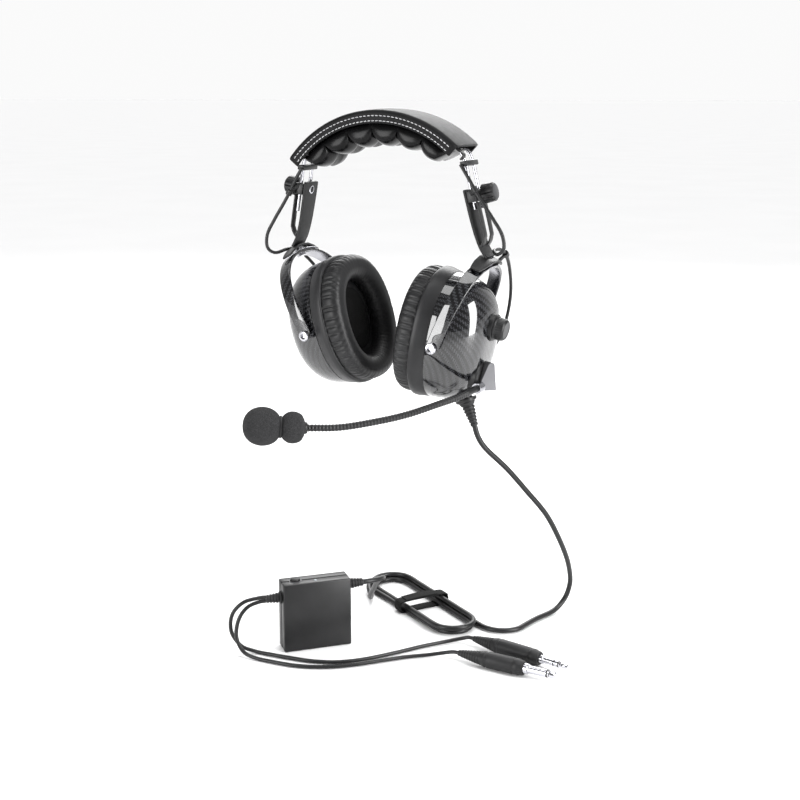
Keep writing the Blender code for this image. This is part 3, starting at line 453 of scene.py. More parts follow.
# ---------------------------------------------------------------- mesh tools

def mesh_of(work, name):
    bmesh.ops.recalc_face_normals(work, faces=work.faces[:])
    mesh = bpy.data.meshes.new(name)
    work.to_mesh(mesh)
    work.free()
    return mesh


def bridge(work, lower, upper):
    """A band of four-sided faces between two loops of equal length."""
    for i in range(len(lower)):
        j = (i + 1) % len(lower)
        work.faces.new((lower[i], lower[j], upper[j], upper[i]))


def loft(name, rings, ends="cap"):
    """A skin through loops of equal length; its ends are capped, joined to each other or open."""
    work = bmesh.new()
    loops = [[work.verts.new(point) for point in ring] for ring in rings]
    pairs = list(zip(loops, loops[1:]))
    if ends == "join":
        pairs.append((loops[-1], loops[0]))
    for lower, upper in pairs:
        bridge(work, lower, upper)
    if ends == "cap":
        work.faces.new(loops[0])
        work.faces.new(loops[-1])
    return mesh_of(work, name)


def turned(name, profile, steps=64, frame_at=Matrix()):
    """A solid of revolution about local z; (radius, height) from top to bottom, or a closed ring."""
    ring_shape = profile[0][0] > 0.0
    rings = []
    for radius, height in profile:
        if radius > 0.0:
            rings.append([(radius * math.cos(2 * math.pi * k / steps),
                           radius * math.sin(2 * math.pi * k / steps), height) for k in range(steps)])
    mesh = loft(name, rings, "join" if ring_shape else "cap")
    mesh.transform(frame_at)
    return mesh


def catmull(points, closed=False, fine=16):
    """Points along the Catmull-Rom curve through `points`."""
    knots = [Vector(p) for p in points]
    count = len(knots)
    if closed:
        at = lambda i: knots[i % count]
        spans = count
    else:
        ends = [2 * knots[0] - knots[1]] + knots + [2 * knots[-1] - knots[-2]]
        at = lambda i: ends[i + 1]
        spans = count - 1
    made = []
    for i in range(spans):
        before, start, end, after = at(i - 1), at(i), at(i + 1), at(i + 2)
        for k in range(fine):
            t = k / fine
            made.append(0.5 * (2 * start + (end - before) * t
                               + (2 * before - 5 * start + 4 * end - after) * t ** 2
                               + (3 * start - before - 3 * end + after) * t ** 3))
    if not closed:
        made.append(knots[-1])
    return made


def route_length(points):
    return sum((b - a).length for a, b in zip(points, points[1:]))


def even(points, spacing):
    """The same line with points at even spacing."""
    total = route_length(points)
    count = max(2, round(total / spacing))
    walked, placed, made = 0.0, 1, [points[0]]
    for start, end in zip(points, points[1:]):
        length = (end - start).length
        while placed < count and walked + length >= placed * total / count:
            made.append(start.lerp(end, (placed * total / count - walked) / max(length, 1e-9)))
            placed += 1
        walked += length
    made.append(points[-1])
    return made


def smooth_line(points, spacing):
    return even(catmull(points), spacing)


def sweep(name, path, radius_at, sides=20):
    """A round tube along a path; radius_at gives the radius at a distance along it."""
    rings, walked = [], 0.0
    across = None
    for i, point in enumerate(path):
        heading = (path[min(i + 1, len(path) - 1)] - path[max(i - 1, 0)]).normalized()
        if across is None:
            across = heading.orthogonal().normalized()
        across = (across - heading * across.dot(heading)).normalized()
        other = heading.cross(across)
        if i:
            walked += (point - path[i - 1]).length
        radius = radius_at(walked)
        rings.append([point + across * radius * math.cos(2 * math.pi * k / sides)
                      + other * radius * math.sin(2 * math.pi * k / sides) for k in range(sides)])
    return loft(name, rings)


def strip(name, path, halves, thickness, across, edge=0.0005):
    """A flat bar with rounded edges that follows a bent path."""
    across = Vector(across).normalized()
    rings = []
    for i, (point, half) in enumerate(zip(path, halves)):
        heading = (path[min(i + 1, len(path) - 1)] - path[max(i - 1, 0)]).normalized()
        out = across.cross(heading).normalized()
        round_off = min(edge, half * 0.45)
        ring = []
        for sign_w, sign_t, start in ((1, 1, 0), (-1, 1, 90), (-1, -1, 180), (1, -1, 270)):
            for k in range(4):
                angle = math.radians(start + 30 * k)
                w = sign_w * (half - round_off) + round_off * math.cos(angle)
                t = sign_t * (thickness / 2 - round_off) + round_off * math.sin(angle)
                ring.append(point + across * w + out * t)
        rings.append(ring)
    mesh = loft(name, rings)
    walked = [0.0]
    for start, end in zip(path, path[1:]):
        walked.append(walked[-1] + (end - start).length)
    size = len(rings[0])
    middle = [sum(ring, Vector()) / size for ring in rings]
    unwrap(mesh, lambda vertex: (walked[vertex.index // size],
                                 (vertex.co - middle[vertex.index // size]).dot(across)))
    return mesh


def oval_point(angle, half_y, half_z, x):
    across, up = math.cos(angle), math.sin(angle)
    y = math.copysign(abs(across) ** (2 / OVAL_POWER), across) * half_y
    z = math.copysign(abs(up) ** (2 / OVAL_POWER), up) * half_z
    return x, y, CUP_CENTRE_Z + z


def oval(half_y, half_z, x, steps=120):
    return [oval_point(2 * math.pi * k / steps, half_y, half_z, x) for k in range(steps)]


def unwrap(mesh, length_at):
    """Gives each corner of the mesh its place on the flat cloth; length_at takes a vertex."""
    layer = mesh.uv_layers.new(name=WEAVE)
    places = [length_at(vertex) for vertex in mesh.vertices]
    for corner in mesh.loops:
        layer.data[corner.index].uv = places[corner.vertex_index]


def turned_piece(name, profile, body, look, slot, place=Matrix(), steps=64, **more):
    return piece(name, turned(name, profile, steps), body, look, slot, place, **more)


def rounded(made, width, segments=2, angle=35):
    bevel = made.modifiers.new("round", "BEVEL")
    bevel.width = width
    bevel.segments = segments
    bevel.limit_method = "ANGLE"
    bevel.angle_limit = math.radians(angle)
    bevel.use_clamp_overlap = True


def piece(name, mesh, body, look, slot, place=Matrix(), flip=False, nodes=(), bevel=0.0, sharp=38):
    """A finished piece in the row frame, riding on its body and standing for its CAD nodes."""
    if flip:
        mesh.transform(Matrix.Scale(-1, 4, (1, 0, 0)))
        mesh.flip_normals()
    mesh.transform(place)
    mesh.shade_smooth()
    mesh.set_sharp_from_angle(angle=math.radians(sharp))
    mesh.materials.append(LOOKS[look])
    made = bpy.data.objects.new(name, mesh)
    bpy.context.scene.collection.objects.link(made)
    if bevel:
        rounded(made, bevel)
    if nodes:
        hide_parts(*nodes)
    if body:
        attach(made, body)
    return made


def copied(node, body, look, slot, bevel, merge_angle=1.0):
    """A CAD piece's own shape with its edges rounded."""
    source = frame["nodes"][node]
    work = bmesh.new()
    work.from_mesh(source.data)
    work.transform(source.matrix_world)
    bmesh.ops.remove_doubles(work, verts=work.verts[:], dist=0.00002)
    bmesh.ops.dissolve_limit(work, angle_limit=math.radians(merge_angle), verts=work.verts[:],
                             edges=work.edges[:])
    mesh = bpy.data.meshes.new(node + "_shape")
    work.to_mesh(mesh)
    work.free()
    return piece(node + "_finished", mesh, body, look, slot, nodes=(node,), bevel=bevel)


def cut(mesh, tools):
    """The mesh less each tool mesh."""
    target = bpy.data.objects.new("cut_target", mesh)
    bpy.context.scene.collection.objects.link(target)
    helpers = []
    for tool in tools:
        helper = bpy.data.objects.new("cut_tool", tool)
        bpy.context.scene.collection.objects.link(helper)
        helpers.append(helper)
        action = target.modifiers.new("cut", "BOOLEAN")
        action.operation = "DIFFERENCE"
        action.solver = "EXACT"
        action.object = helper
    result = bpy.data.meshes.new_from_object(
        target.evaluated_get(bpy.context.evaluated_depsgraph_get()))
    for thing in [target] + helpers:
        bpy.data.objects.remove(thing, do_unlink=True)
    return result


def rod_tool(radius, low, high, place):
    return turned("tool", ((0.0, high), (radius, high), (radius, low), (0.0, low)), 64, place)


# ---------------------------------------------------------------- camera, lights and floor

def make_camera():
    data = bpy.data.cameras.new("camera")
    data.lens = CAMERA_LENS
    data.sensor_width = 36.0
    data.shift_x = CAMERA_SHIFT
    data.clip_start = 0.01
    made = bpy.data.objects.new("camera", data)
    made.location = CAMERA_AT
    made.rotation_euler = CAMERA_TURN
    bpy.context.scene.collection.objects.link(made)
    bpy.context.scene.camera = made


def make_light(name, at, size, power):
    data = bpy.data.lights.new(name, "AREA")
    data.shape = "RECTANGLE"
    data.size, data.size_y = size
    data.energy = power
    made = bpy.data.objects.new(name, data)
    made.location = at
    made.rotation_euler = (Vector((0, 0, -0.02)) - Vector(at)).to_track_quat("-Z", "Y").to_euler()
    made.visible_camera = False
    bpy.context.scene.collection.objects.link(made)


def make_room():
    """A pale room that is brightest behind the object, so that gloss and metal keep their contrast."""
    world = bpy.data.worlds.new("studio")
    world.use_nodes = True
    tree = world.node_tree
    direction = tree.nodes.new("ShaderNodeTexCoord").outputs["Generated"]
    facing = tree.nodes.new("ShaderNodeVectorMath")
    facing.operation = "DOT_PRODUCT"
    facing.inputs[1].default_value = BACKDROP
    spread = tree.nodes.new("ShaderNodeMapRange")
    for socket, value in ROOM:
        spread.inputs[socket].default_value = value
    tree.links.new(direction, facing.inputs[0])
    tree.links.new(facing.outputs["Value"], spread.inputs["Value"])
    tree.links.new(spread.outputs["Result"], tree.nodes["Background"].inputs["Strength"])
    tree.nodes["Background"].inputs["Color"].default_value = (1.0, 1.0, 1.0, 1.0)
    bpy.context.scene.world = world


def make_studio():
    for panel in PANELS:
        make_light(*panel)
    sun = bpy.data.lights.new("overhead", "SUN")
    sun.energy, sun.angle = OVERHEAD
    bpy.context.scene.collection.objects.link(bpy.data.objects.new("overhead", sun))
    make_room()
    bpy.context.scene.view_settings.view_transform = "Standard"
    bpy.ops.mesh.primitive_plane_add(size=200.0, location=(0, 0, TABLE_Z - 0.0002))
    floor = bpy.context.object
    floor.name = "floor"
    floor.data.materials.append(floor_look())


# ---------------------------------------------------------------- cords

def make_cord(name, points, radius, nodes):
    """A free cord as one open spline, riding on the left cup."""
    line = bpy.data.curves.new(name, "CURVE")
    line.dimensions = "3D"
    line.bevel_depth = radius
    line.bevel_resolution = 5
    line.use_fill_caps = True
    spline = line.splines.new("POLY")
    spline.points.add(len(points) - 1)
    for knot, point in zip(spline.points, points):
        knot.co = (*point, 1.0)
    line.materials.append(LOOKS["cord_rubber"])
    made = bpy.data.objects.new(name, line)
    bpy.context.scene.collection.objects.link(made)
    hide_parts(*nodes)
    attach(made, "left_cup")
    return made


def hank_points():
    """The folded turns, lying in the hank's own frame: each is two runs and two half circles."""
    points = []
    rest = CORD_RADIUS + GAP
    for turn, (radius, lift) in enumerate(HANK_TURNS):
        following, rise = HANK_TURNS[min(turn + 1, len(HANK_TURNS) - 1)]
        last = turn == len(HANK_TURNS) - 1
        for along in (0.75, 0.25, -0.25, -0.75):
            points.append((along * HANK_STRAIGHT, radius, rest + lift))
        arc_end = HANK_LEAVE if last else math.radians(270)
        arc_steps = 4 if last else 6
        for k in range(arc_steps + 1):
            angle = math.radians(90) + (arc_end - math.radians(90)) * k / arc_steps
            points.append((-HANK_STRAIGHT + radius * math.cos(angle), radius * math.sin(angle), rest + lift))
        if last:
            break
        for k in range(1, 5):
            part = k / 5
            points.append((HANK_STRAIGHT * (2 * part - 1), -(radius + (following - radius) * part),
                           rest + lift + (rise - lift) * part))
        for k in range(7):
            angle = math.radians(-90 + 30 * k)
            points.append((HANK_STRAIGHT + following * math.cos(angle), following * math.sin(angle),
                           rest + rise))
    return [HANK @ Vector(p) for p in points]


def make_main_cord():
    """One cord from the left cup down to the table, through the hank and up into the control box."""
    knots = [Vector(p) for p in MAIN_ROUTE]
    knots += hank_points()
    knots += [HANK @ Vector((-0.0560, -0.0235, CORD_RADIUS + 0.0036))]
    knots += [Vector(p) for p in reversed(BOX_CORD_ROUTE)]
    return make_cord("main_cord_line", smooth_line(knots, 0.0025), CORD_RADIUS,
                     ("main_cord", "cord_hank", "box_cord"))


def make_tie():
    """The hook-and-loop strap round the hank, with its free end lapped over the top."""
    outer = max(radius for radius, _ in HANK_TURNS) + CORD_RADIUS + 0.0012
    top = max(lift for _, lift in HANK_TURNS) + 2 * CORD_RADIUS + GAP + 0.0012
    low, curl = 0.0009, 0.0030
    corners = ((outer - curl, low), (outer, low + curl), (outer, top - curl), (outer - curl, top),
               (0.0, top + 0.0004), (-outer + curl, top), (-outer, top - curl), (-outer, low + curl),
               (-outer + curl, low), (0.0, low))
    path = catmull([(0.0, y, z) for y, z in corners], closed=True, fine=6)
    path.append(path[0])
    lap = smooth_line([(0.0, -outer * 0.75, top + 0.0010), (0.0, -outer * 0.2, top + 0.0017),
                       (0.0, outer * 0.55, top + 0.0014)], 0.003)
    for name, line in (("hank_tie", path), ("hank_tie_lap", lap)):
        mesh = strip(name, line, [0.0052] * len(line), 0.0011, (1, 0, 0), 0.0003)
        nodes = ("cord_tie",) if name == "hank_tie" else ()
        piece(name, mesh, "left_cup", "ear_cloth", "black_rubber", HANK, nodes=nodes)


def make_plug(name, start, end, pin_radius, pin_length, bands):
    """A ribbed moulded handle and a nickel pin with black insulating rings."""
    heading = Vector(end) - Vector(start)
    length = heading.length
    place = aimed(start, heading)
    big = PLUG_RADIUS
    profile = [(0.0, length), (big * 0.80, length), (big * 0.88, length - 0.0012),
               (big * 0.90, length - 0.0032), (big * 0.98, length - 0.0044), (big, length - 0.0075),
               (big * 0.94, length - 0.0085),
               (big, length - 0.0095), (big, 0.0270), (big * 0.92, 0.0262), (big * 0.92, 0.0252),
               (big * 0.97, 0.0244), (big * 0.92, 0.0226)]
    for k in range(8):
        at = 0.0215 - 0.0024 * k
        wide = big * (0.86 - 0.055 * k)
        profile += [(wide, at), (wide, at - 0.0013), (wide * 0.86, at - 0.0016), (wide * 0.86, at - 0.0022)]
    profile += [(0.0025, 0.0004), (0.0021, 0.0), (0.0, 0.0)]
    name += "_plug"
    body = turned_piece(name + "_handle", profile, "left_cup", "black_rubber", "black_rubber", place,
                        nodes=(name + "_body",), bevel=0.0002, sharp=30)
    neck, tip = pin_radius * 0.66, pin_length
    pin_profile = ((0.0, tip), (pin_radius * 0.35, tip - 0.0003), (pin_radius * 0.75, tip - 0.0016),
                   (pin_radius * 0.95, tip - 0.0042), (neck, tip - 0.0066), (pin_radius, tip - 0.0080),
                   (pin_radius, 0.0032), (pin_radius * 1.35, 0.0030), (pin_radius * 1.35, 0.0), (0.0, 0.0))
    at = place @ Matrix.Translation((0, 0, length + GAP))
    pin = turned_piece(name + "_tip", pin_profile, "left_cup", "nickel", "nickel", at, 48,
                       nodes=(name + "_pin",), bevel=0.0001, sharp=30)
    rings = []
    for k, height in enumerate(bands):
        wide, inner, low = pin_radius + 0.00006, pin_radius * 0.8, height - RING_LENGTH
        rings.append(turned_piece(name + "_ring_" + str(k + 1),
                                  ((wide, height), (wide, low), (inner, low), (inner, height)),
                                  "left_cup", "black_plastic", "black_plastic", at, 48))
    return [body, pin] + rings


def lead_line(s):
    return catmull([HEADSET @ Vector((s * x, y, z)) for x, y, z in LEAD_ROUTE], fine=LEAD_FINE)


def make_leads():
    """Each ear lead in three lengths, held where it passes the arm and the yoke."""
    for side, s in SIDES.items():
        line = lead_line(s)
        marks = [0] + [cut_at * LEAD_FINE for cut_at in LEAD_CUTS] + [len(line) - 1]
        for k, where in enumerate(("upper", "middle", "lower")):
            path = even(line[marks[k]:marks[k + 1] + 1], 0.0020)
            name = side + "_lead_" + where
            mesh = sweep(name, path, lambda _: LEAD_RADIUS, 16)
            made = piece(name, mesh, None, "cord_rubber", "black_rubber", nodes=(side + "_ear_lead",))
            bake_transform(made)


def into_plug(route, plug):
    """A thin cord's route, run on inside the plug's handle to its terminals."""
    start, end = (Vector(p) for p in plug)
    heading = (end - start).normalized()
    inside = tuple(start + heading * depth for depth in (0.012, TERMINAL_DEPTH))
    return smooth_line(tuple(route) + inside, 0.0025)


def make_cords():
    make_main_cord()
    make_tie()
    microphone = make_plug("microphone", *MICROPHONE_PLUG, 0.0026, 0.0260, (0.0178, 0.0136))
    headphone = make_plug("headphone", *HEADPHONE_PLUG, 0.00317, 0.0270, (0.0198,))
    for name, route, plug, pieces in (("microphone", UPPER_ROUTE, MICROPHONE_PLUG, microphone),
                                      ("headphone", LOWER_ROUTE, HEADPHONE_PLUG, headphone)):
        make_cord(name + "_line", into_plug(route, plug), THIN_RADIUS, (name + "_cord",))
    make_leads()


# ---------------------------------------------------------------- head pad

def band_point(radius, angle, y=0.0):
    return Vector((radius * math.sin(angle), y, BAND_CENTRE_Z + radius * math.cos(angle)))


def cover_half(part):
    """Half width along the cover, from 0 at one end to 1 at the other, a little narrower at its ends."""
    inset = min(part, 1 - part) * 2 * PAD_HALF_ANGLE * COVER_RADIUS
    return PAD_WIDTH / 2 - 0.0012 * max(0.0, 1 - inset / 0.0025) ** 2


def cover_angle(part):
    return PAD_HALF_ANGLE * (2 * part - 1) - PAD_SHIFT


def cover_section(half):
    """The cover's cross-section as (y, height above its top): crowned, with both edges folded down."""
    wall, flat, lip = COVER_THICKNESS, half - COVER_CORNER, COVER_THICKNESS / 2
    right = [(flat * k / 6, 0.0) for k in range(6)]
    for k in range(7):
        turn = math.radians(90 - 15 * k)
        right.append((flat + COVER_CORNER * math.cos(turn), COVER_CORNER * (math.sin(turn) - 1)))
    for k in range(7):
        turn = math.radians(-30 * k)
        right.append((half - lip + lip * math.cos(turn), -COVER_FOLD + lip + lip * math.sin(turn)))
    right += [(half - wall, -COVER_CORNER), (flat, -wall)]
    right += [(flat * k / 6, -wall) for k in range(5, -1, -1)]
    crowned = [(y, up - 0.0006 * min(1.0, y / flat) ** 2) for y, up in right]
    return crowned + [(-y, up) for y, up in reversed(crowned[1:-1])]


def make_cover():
    stations = 88
    rings = []
    for i in range(stations + 1):
        part = i / stations
        rings.append([band_point(COVER_RADIUS + up, cover_angle(part), y)
                      for y, up in cover_section(cover_half(part))])
    piece("leather_cover", loft("leather_cover", rings), "headband", "black_leather", "black_leather",
          HEADSET, nodes=("band_cover",), sharp=60)


def make_stitches():
    """Two rows of thread low on each folded edge of the cover, sunk a little into the leather."""
    work = bmesh.new()
    pitch, long, thick = 0.0036, 0.0026, 0.00036
    count = int(2 * PAD_HALF_ANGLE * COVER_RADIUS / pitch) - 2
    for drop, slant in STITCH_ROWS:
        for k in range(count):
            part = (k + 1.5) / (count + 2)
            tangent = cover_angle(part) + math.radians(slant)
            heading = Vector((math.cos(tangent), 0, -math.sin(tangent)))
            for sign in (-1, 1):
                y = sign * (cover_half(part) + thick * 0.4)
                centre = band_point(COVER_RADIUS - drop, cover_angle(part), y)
                place = aimed(centre, heading)
                bmesh.ops.create_uvsphere(work, u_segments=8, v_segments=6, radius=1.0,
                                          matrix=place @ Matrix.Diagonal((thick, thick, long / 2, 1.0)))
    piece("cover_stitches", mesh_of(work, "cover_stitches"), "headband", "thread", "black_leather", HEADSET)


def make_pad():
    """The quilted underside: six full lobes, pinched at the seams between them and along the middle."""
    rings, stations, around = [], 216, 56
    top = ROD_ARC_RADIUS - ROD_RADIUS - 0.0006
    for i in range(stations + 1):
        part = i / stations
        angle = PAD_HALF_ANGLE * 0.93 * (1 - 2 * part) - PAD_SHIFT * 0.5
        bulge = abs(math.sin(math.pi * part * LOBES)) ** 0.45
        depth = LOBE_SEAM_DEPTH + (LOBE_DEPTH - LOBE_SEAM_DEPTH) * bulge
        depth *= 0.82 + 0.18 * math.sin(math.pi * part)
        end = min(1.0, math.sqrt(max(0.0, min(part, 1 - part)) / 0.035))
        half_w = (PAD_WIDTH / 2 - 0.0018) * (0.90 + 0.10 * bulge) * (0.82 + 0.18 * end)
        half_d = depth / 2 * (0.40 + 0.60 * end)
        ring = []
        for k in range(around):
            turn = 2 * math.pi * k / around
            across, up = math.cos(turn), math.sin(turn)
            y = math.copysign(abs(across) ** 0.66, across) * half_w
            lift = math.copysign(abs(up) ** 0.72, up) * half_d
            if up < 0:
                lift *= 1 - 0.20 * math.exp(-(y / 0.0022) ** 2)
            tuck = 0.0024 * max(0.0, (lift + half_d) / depth - 0.45)
            ring.append(band_point(top - half_d + lift, angle, y - math.copysign(tuck, y)))
        rings.append(ring)
    made = piece("quilted_pad", loft("quilted_pad", rings), "headband", "pad_leather", "black_leather",
                 HEADSET, nodes=("band_cushion",), sharp=70)


def make_hook():
    """The small hook at the pad's left end that holds the ear lead."""
    end = cover_angle(1.0)
    corners = ((-0.0080, -0.0050), (0.0006, -0.0044), (0.0050, -0.0038), (0.0072, -0.0052), (0.0070, -0.0082))
    along = Vector((math.cos(end), 0, -math.sin(end)))
    line = smooth_line([band_point(COVER_RADIUS + up, end, -0.0135) + along * out for out, up in corners],
                       0.0010)
    piece("lead_hook", strip("lead_hook", line, [0.0026] * len(line), 0.0014, (0, 1, 0)), "headband",
          "black_plastic", "black_plastic", HEADSET)


def make_rods():
    for name, y in (("front_band_rod", -ROD_Y), ("rear_band_rod", ROD_Y)):
        crown = [band_point(ROD_ARC_RADIUS, ROD_ARC_ANGLE * k / 4, y) for k in range(5)]
        shoulder = [Vector((0.0600, y, 0.1578)), Vector((0.0675, y, 0.1500))]
        straight = [Vector((slide_x(z), y, z)) for z in (BEND_Z, 0.130, 0.118, ROD_END_Z)]
        half = crown + shoulder + straight
        whole = [Vector((-p.x, p.y, p.z)) for p in reversed(half[1:])] + half
        path = smooth_line(whole, 0.0030)
        mesh = sweep(name, path, lambda _: ROD_RADIUS, 24)
        piece(name + "_polished", mesh, "headband", "bright_steel", "bright_steel", HEADSET, nodes=(name,))


def make_head_pad():
    make_cover()
    make_stitches()
    make_pad()
    make_hook()
    make_rods()
    for side in SIDES:
        copied(side + "_band_bracket", "headband", "black_plastic", "black_plastic", 0.0006)


# ---------------------------------------------------------------- arms and yokes

def make_clamp_knob(side, s):
    """A fluted thumb knob on a threaded shaft, with a lighter face."""
    flutes, steps = 12, 192
    stations = ((-0.0060, SHAFT_RADIUS, 0), (0.0050, SHAFT_RADIUS, 0), (0.0050, 0.0046, 0),
                (0.0066, 0.0046, 0), (0.0066, KNOB_RADIUS * 0.95, 1), (0.0072, KNOB_RADIUS, 1),
                (0.0150, KNOB_RADIUS * 0.95, 1), (0.0158, KNOB_RADIUS * 0.88, 1), (0.0158, 0.0066, 0),
                (0.0166, 0.0060, 0))
    rings = []
    for x, radius, fluted in stations:
        loop = []
        for k in range(steps):
            angle = 2 * math.pi * k / steps
            notch = 1.0 - 0.11 * fluted * max(0.0, math.cos(flutes * angle)) ** 3
            loop.append((x, radius * notch * math.cos(angle), radius * notch * math.sin(angle)))
        rings.append(loop)
    place = FRAMES[side]["arm"]
    piece(side + "_thumb_knob", loft(side + "_thumb_knob", rings), side + "_clamp_knob", "black_plastic",
          "black_plastic", place, s < 0, (side + "_clamp_knob",), 0.0002, 30)
    face = turned(side + "_knob_face", ((0.0, 0.0170), (0.0050, 0.0170), (0.0056, 0.0167), (0.0056, 0.0160),
                                        (0.0, 0.0160)), 64, OUTWARD)
    piece(side + "_knob_face", face, side + "_clamp_knob", "knob_face", "grey_plastic", place, s < 0)


def make_yoke(side, s):
    """The arched fork: twill outside and on its edges, bright on the side that faces the cup."""
    half = ((0, 0.0, 0.0), (0, 0.0090, -0.0004), (0, 0.0180, -0.0030), (0, 0.0270, -0.0085),
            (0, 0.0345, -0.0170), (0, 0.0395, -0.0280), (0, 0.0424, -0.0400),
            (0, YOKE_HALF_SPAN, -0.0520), (0, YOKE_HALF_SPAN, -YOKE_DROP + YOKE_WIDTH / 2))
    eye = YOKE_WIDTH / 2
    path = smooth_line(half, 0.0020)
    halves = [eye] * len(path)
    steps = 14
    for k in range(1, steps + 1):
        angle = math.radians(88 * k / steps)
        path.append(Vector((0, YOKE_HALF_SPAN, -YOKE_DROP + eye / 2 - eye * math.sin(angle))))
        halves.append(max(0.0007, eye * math.cos(angle)))
    whole = [Vector((0, -p.y, p.z)) for p in reversed(path[1:])] + path
    mesh = strip(side + "_yoke_bar", whole, halves[:0:-1] + halves, YOKE_THICKNESS, (1, 0, 0), 0.0006)
    made = piece(side + "_yoke_bar", mesh, side + "_yoke", "carbon_weave", "carbon_weave",
                 FRAMES[side]["yoke"], s < 0, (side + "_yoke",))
    mesh.materials.append(LOOKS["bright_steel"])
    middle = FRAMES[side]["yoke"] @ Vector((0, 0, -YOKE_DROP * 0.62))
    across = FRAMES[side]["yoke"].to_3x3() @ Vector((1, 0, 0))
    for face in mesh.polygons:
        inward = (middle - face.center).normalized()
        if face.normal.dot(inward) > 0.45 and abs(face.normal.dot(across)) < 0.5:
            face.material_index = 1
    return made


def make_saddle(side, s):
    """The bright plate between the yoke's crown and the swivel pin."""
    crown = ((-0.0150, -0.0019), (-0.0090, -0.0004), (0.0, 0.0), (0.0090, -0.0004), (0.0150, -0.0019))
    line = smooth_line([(0, y, 0.0015 + drop) for y, drop in crown], 0.0010)
    piece(side + "_yoke_saddle", strip("saddle", line, [0.0064] * len(line), 0.0005, (1, 0, 0), 0.0002),
          side + "_yoke", "nickel", "bright_steel", FRAMES[side]["yoke"], s < 0)


def make_pivots(side):
    for end, k in (("front", -1), ("rear", 1)):
        profile = ((0.0, 0.0456), (0.0018, 0.0456), (0.0021, 0.0470), (0.0027, 0.0474), (0.0036, 0.0473),
                   (0.0044, 0.0466), (0.0044, 0.0451), (SHAFT_RADIUS, 0.0451), (SHAFT_RADIUS, 0.0420),
                   (0.0034, 0.0420), (0.0034, 0.0403), (0.0015, 0.0403), (0.0015, 0.0350), (0.0, 0.0350))
        place = FRAMES[side]["cup"] @ step(turn=(-k * math.pi / 2, 0, 0))
        name = side + "_" + end + "_pivot"
        turned_piece(name, profile, side + "_cup", "nickel", "nickel", place, 48, nodes=(name + "_screw",),
                     sharp=30)


def make_clips(side, s):
    """The small clips that hold the lead: one on the clamp, one on the yoke's rear shoulder."""
    line = lead_line(s)
    for name, index, part, at in (("clamp", CLIP_STEPS[0], "arm", (0, -0.0110, 0.0030)),
                                  ("yoke", CLIP_STEPS[1], "yoke", (0, 0.0200, -0.0030))):
        body, anchor = side + "_" + part, FRAMES[side][part] @ Vector(at)
        centre = line[index]
        heading = (line[index + 1] - line[index - 1]).normalized()
        wide, inner = LEAD_RADIUS + 0.0012, LEAD_RADIUS + 0.0002
        ring = turned("ring", ((inner, 0.0022), (wide, 0.0022), (wide, -0.0022), (inner, -0.0022)), 32,
                      aimed(centre, heading))
        piece(side + "_" + name + "_clip_ring", ring, body, "black_plastic", "black_plastic", bevel=0.0003)
        toward = (anchor - centre).normalized()
        stem = strip("stem", [centre + toward * wide * 0.9, centre.lerp(anchor, 0.6), anchor],
                     [0.0018, 0.0022, 0.0028], 0.0014, heading, 0.0003)
        piece(side + "_" + name + "_clip_stem", stem, body, "black_plastic", "black_plastic")


def make_arm_plates(side, s):
    """The bowed strip on the arm's inner side, and two rails that keep the rods against it."""
    place, body = FRAMES[side]["arm"], side + "_arm"
    line = smooth_line([(x, 0, z) for x, z in ((-0.0050, 0.0062), (-0.0050, -0.0080), (-0.0048, -0.0200),
                                               (-0.0042, -0.0300), (-0.0030, -0.0390), (-0.0012, -0.0450),
                                               (0.0004, -0.0484))], 0.0010)
    halves = [ARM_WIDTH / 2 - 0.0018 * k / (len(line) - 1) for k in range(len(line))]
    halves[0] -= 0.0012
    piece(side + "_arm_strip", strip("arm_strip", line, halves, ARM_THICKNESS, (0, 1, 0)), body,
          "grained_plastic", "black_plastic", place, s < 0, (side + "_arm",))
    for name, y in (("front", -0.0068), ("rear", 0.0068)):
        rail = smooth_line([(x, y, z) for x, z in ((0.0030, -0.0052), (0.0030, -0.0290), (0.0022, -0.0330),
                                                   (0.0002, -0.0368), (-0.0024, -0.0392))], 0.0010)
        mesh = strip("rail", rail, [0.0032] * len(rail), 0.0011, (0, 1, 0), 0.0003)
        piece(side + "_" + name + "_rail", mesh, body, "black_plastic", "black_plastic", place, s < 0)
    eyelet = turned("eyelet", ((0.0025, 0.0068), (0.0033, 0.0067), (0.0036, 0.0060), (0.0025, 0.0060)), 48,
                    step(turn=(0, -math.pi / 2, 0)))
    piece(side + "_arm_eyelet", eyelet, body, "nickel", "bright_steel", place, s < 0)


def make_arm(side, s):
    body = side + "_arm"
    make_arm_plates(side, s)
    copied(side + "_slider_clamp", body, "black_plastic", "black_plastic", 0.0006)
    copied(side + "_arm_foot", body, "black_plastic", "black_plastic", 0.0003)
    make_clamp_knob(side, s)
    make_yoke(side, s)
    make_saddle(side, s)
    make_pivots(side)
    make_clips(side, s)


# ---------------------------------------------------------------- cups

def dome_rings(wall, steps):
    rings = []
    for k in range(steps + 1):
        angle = math.pi / 2 * min(k / steps, 0.985)
        scale = math.cos(angle) ** DOME_CURVE[0]
        depth = (DOME_DEPTH - wall) * math.sin(angle) ** DOME_CURVE[1]
        rings.append(oval((DOME_HALF[0] - wall) * scale, (DOME_HALF[1] - wall) * scale, DOME_X + depth))
    return rings


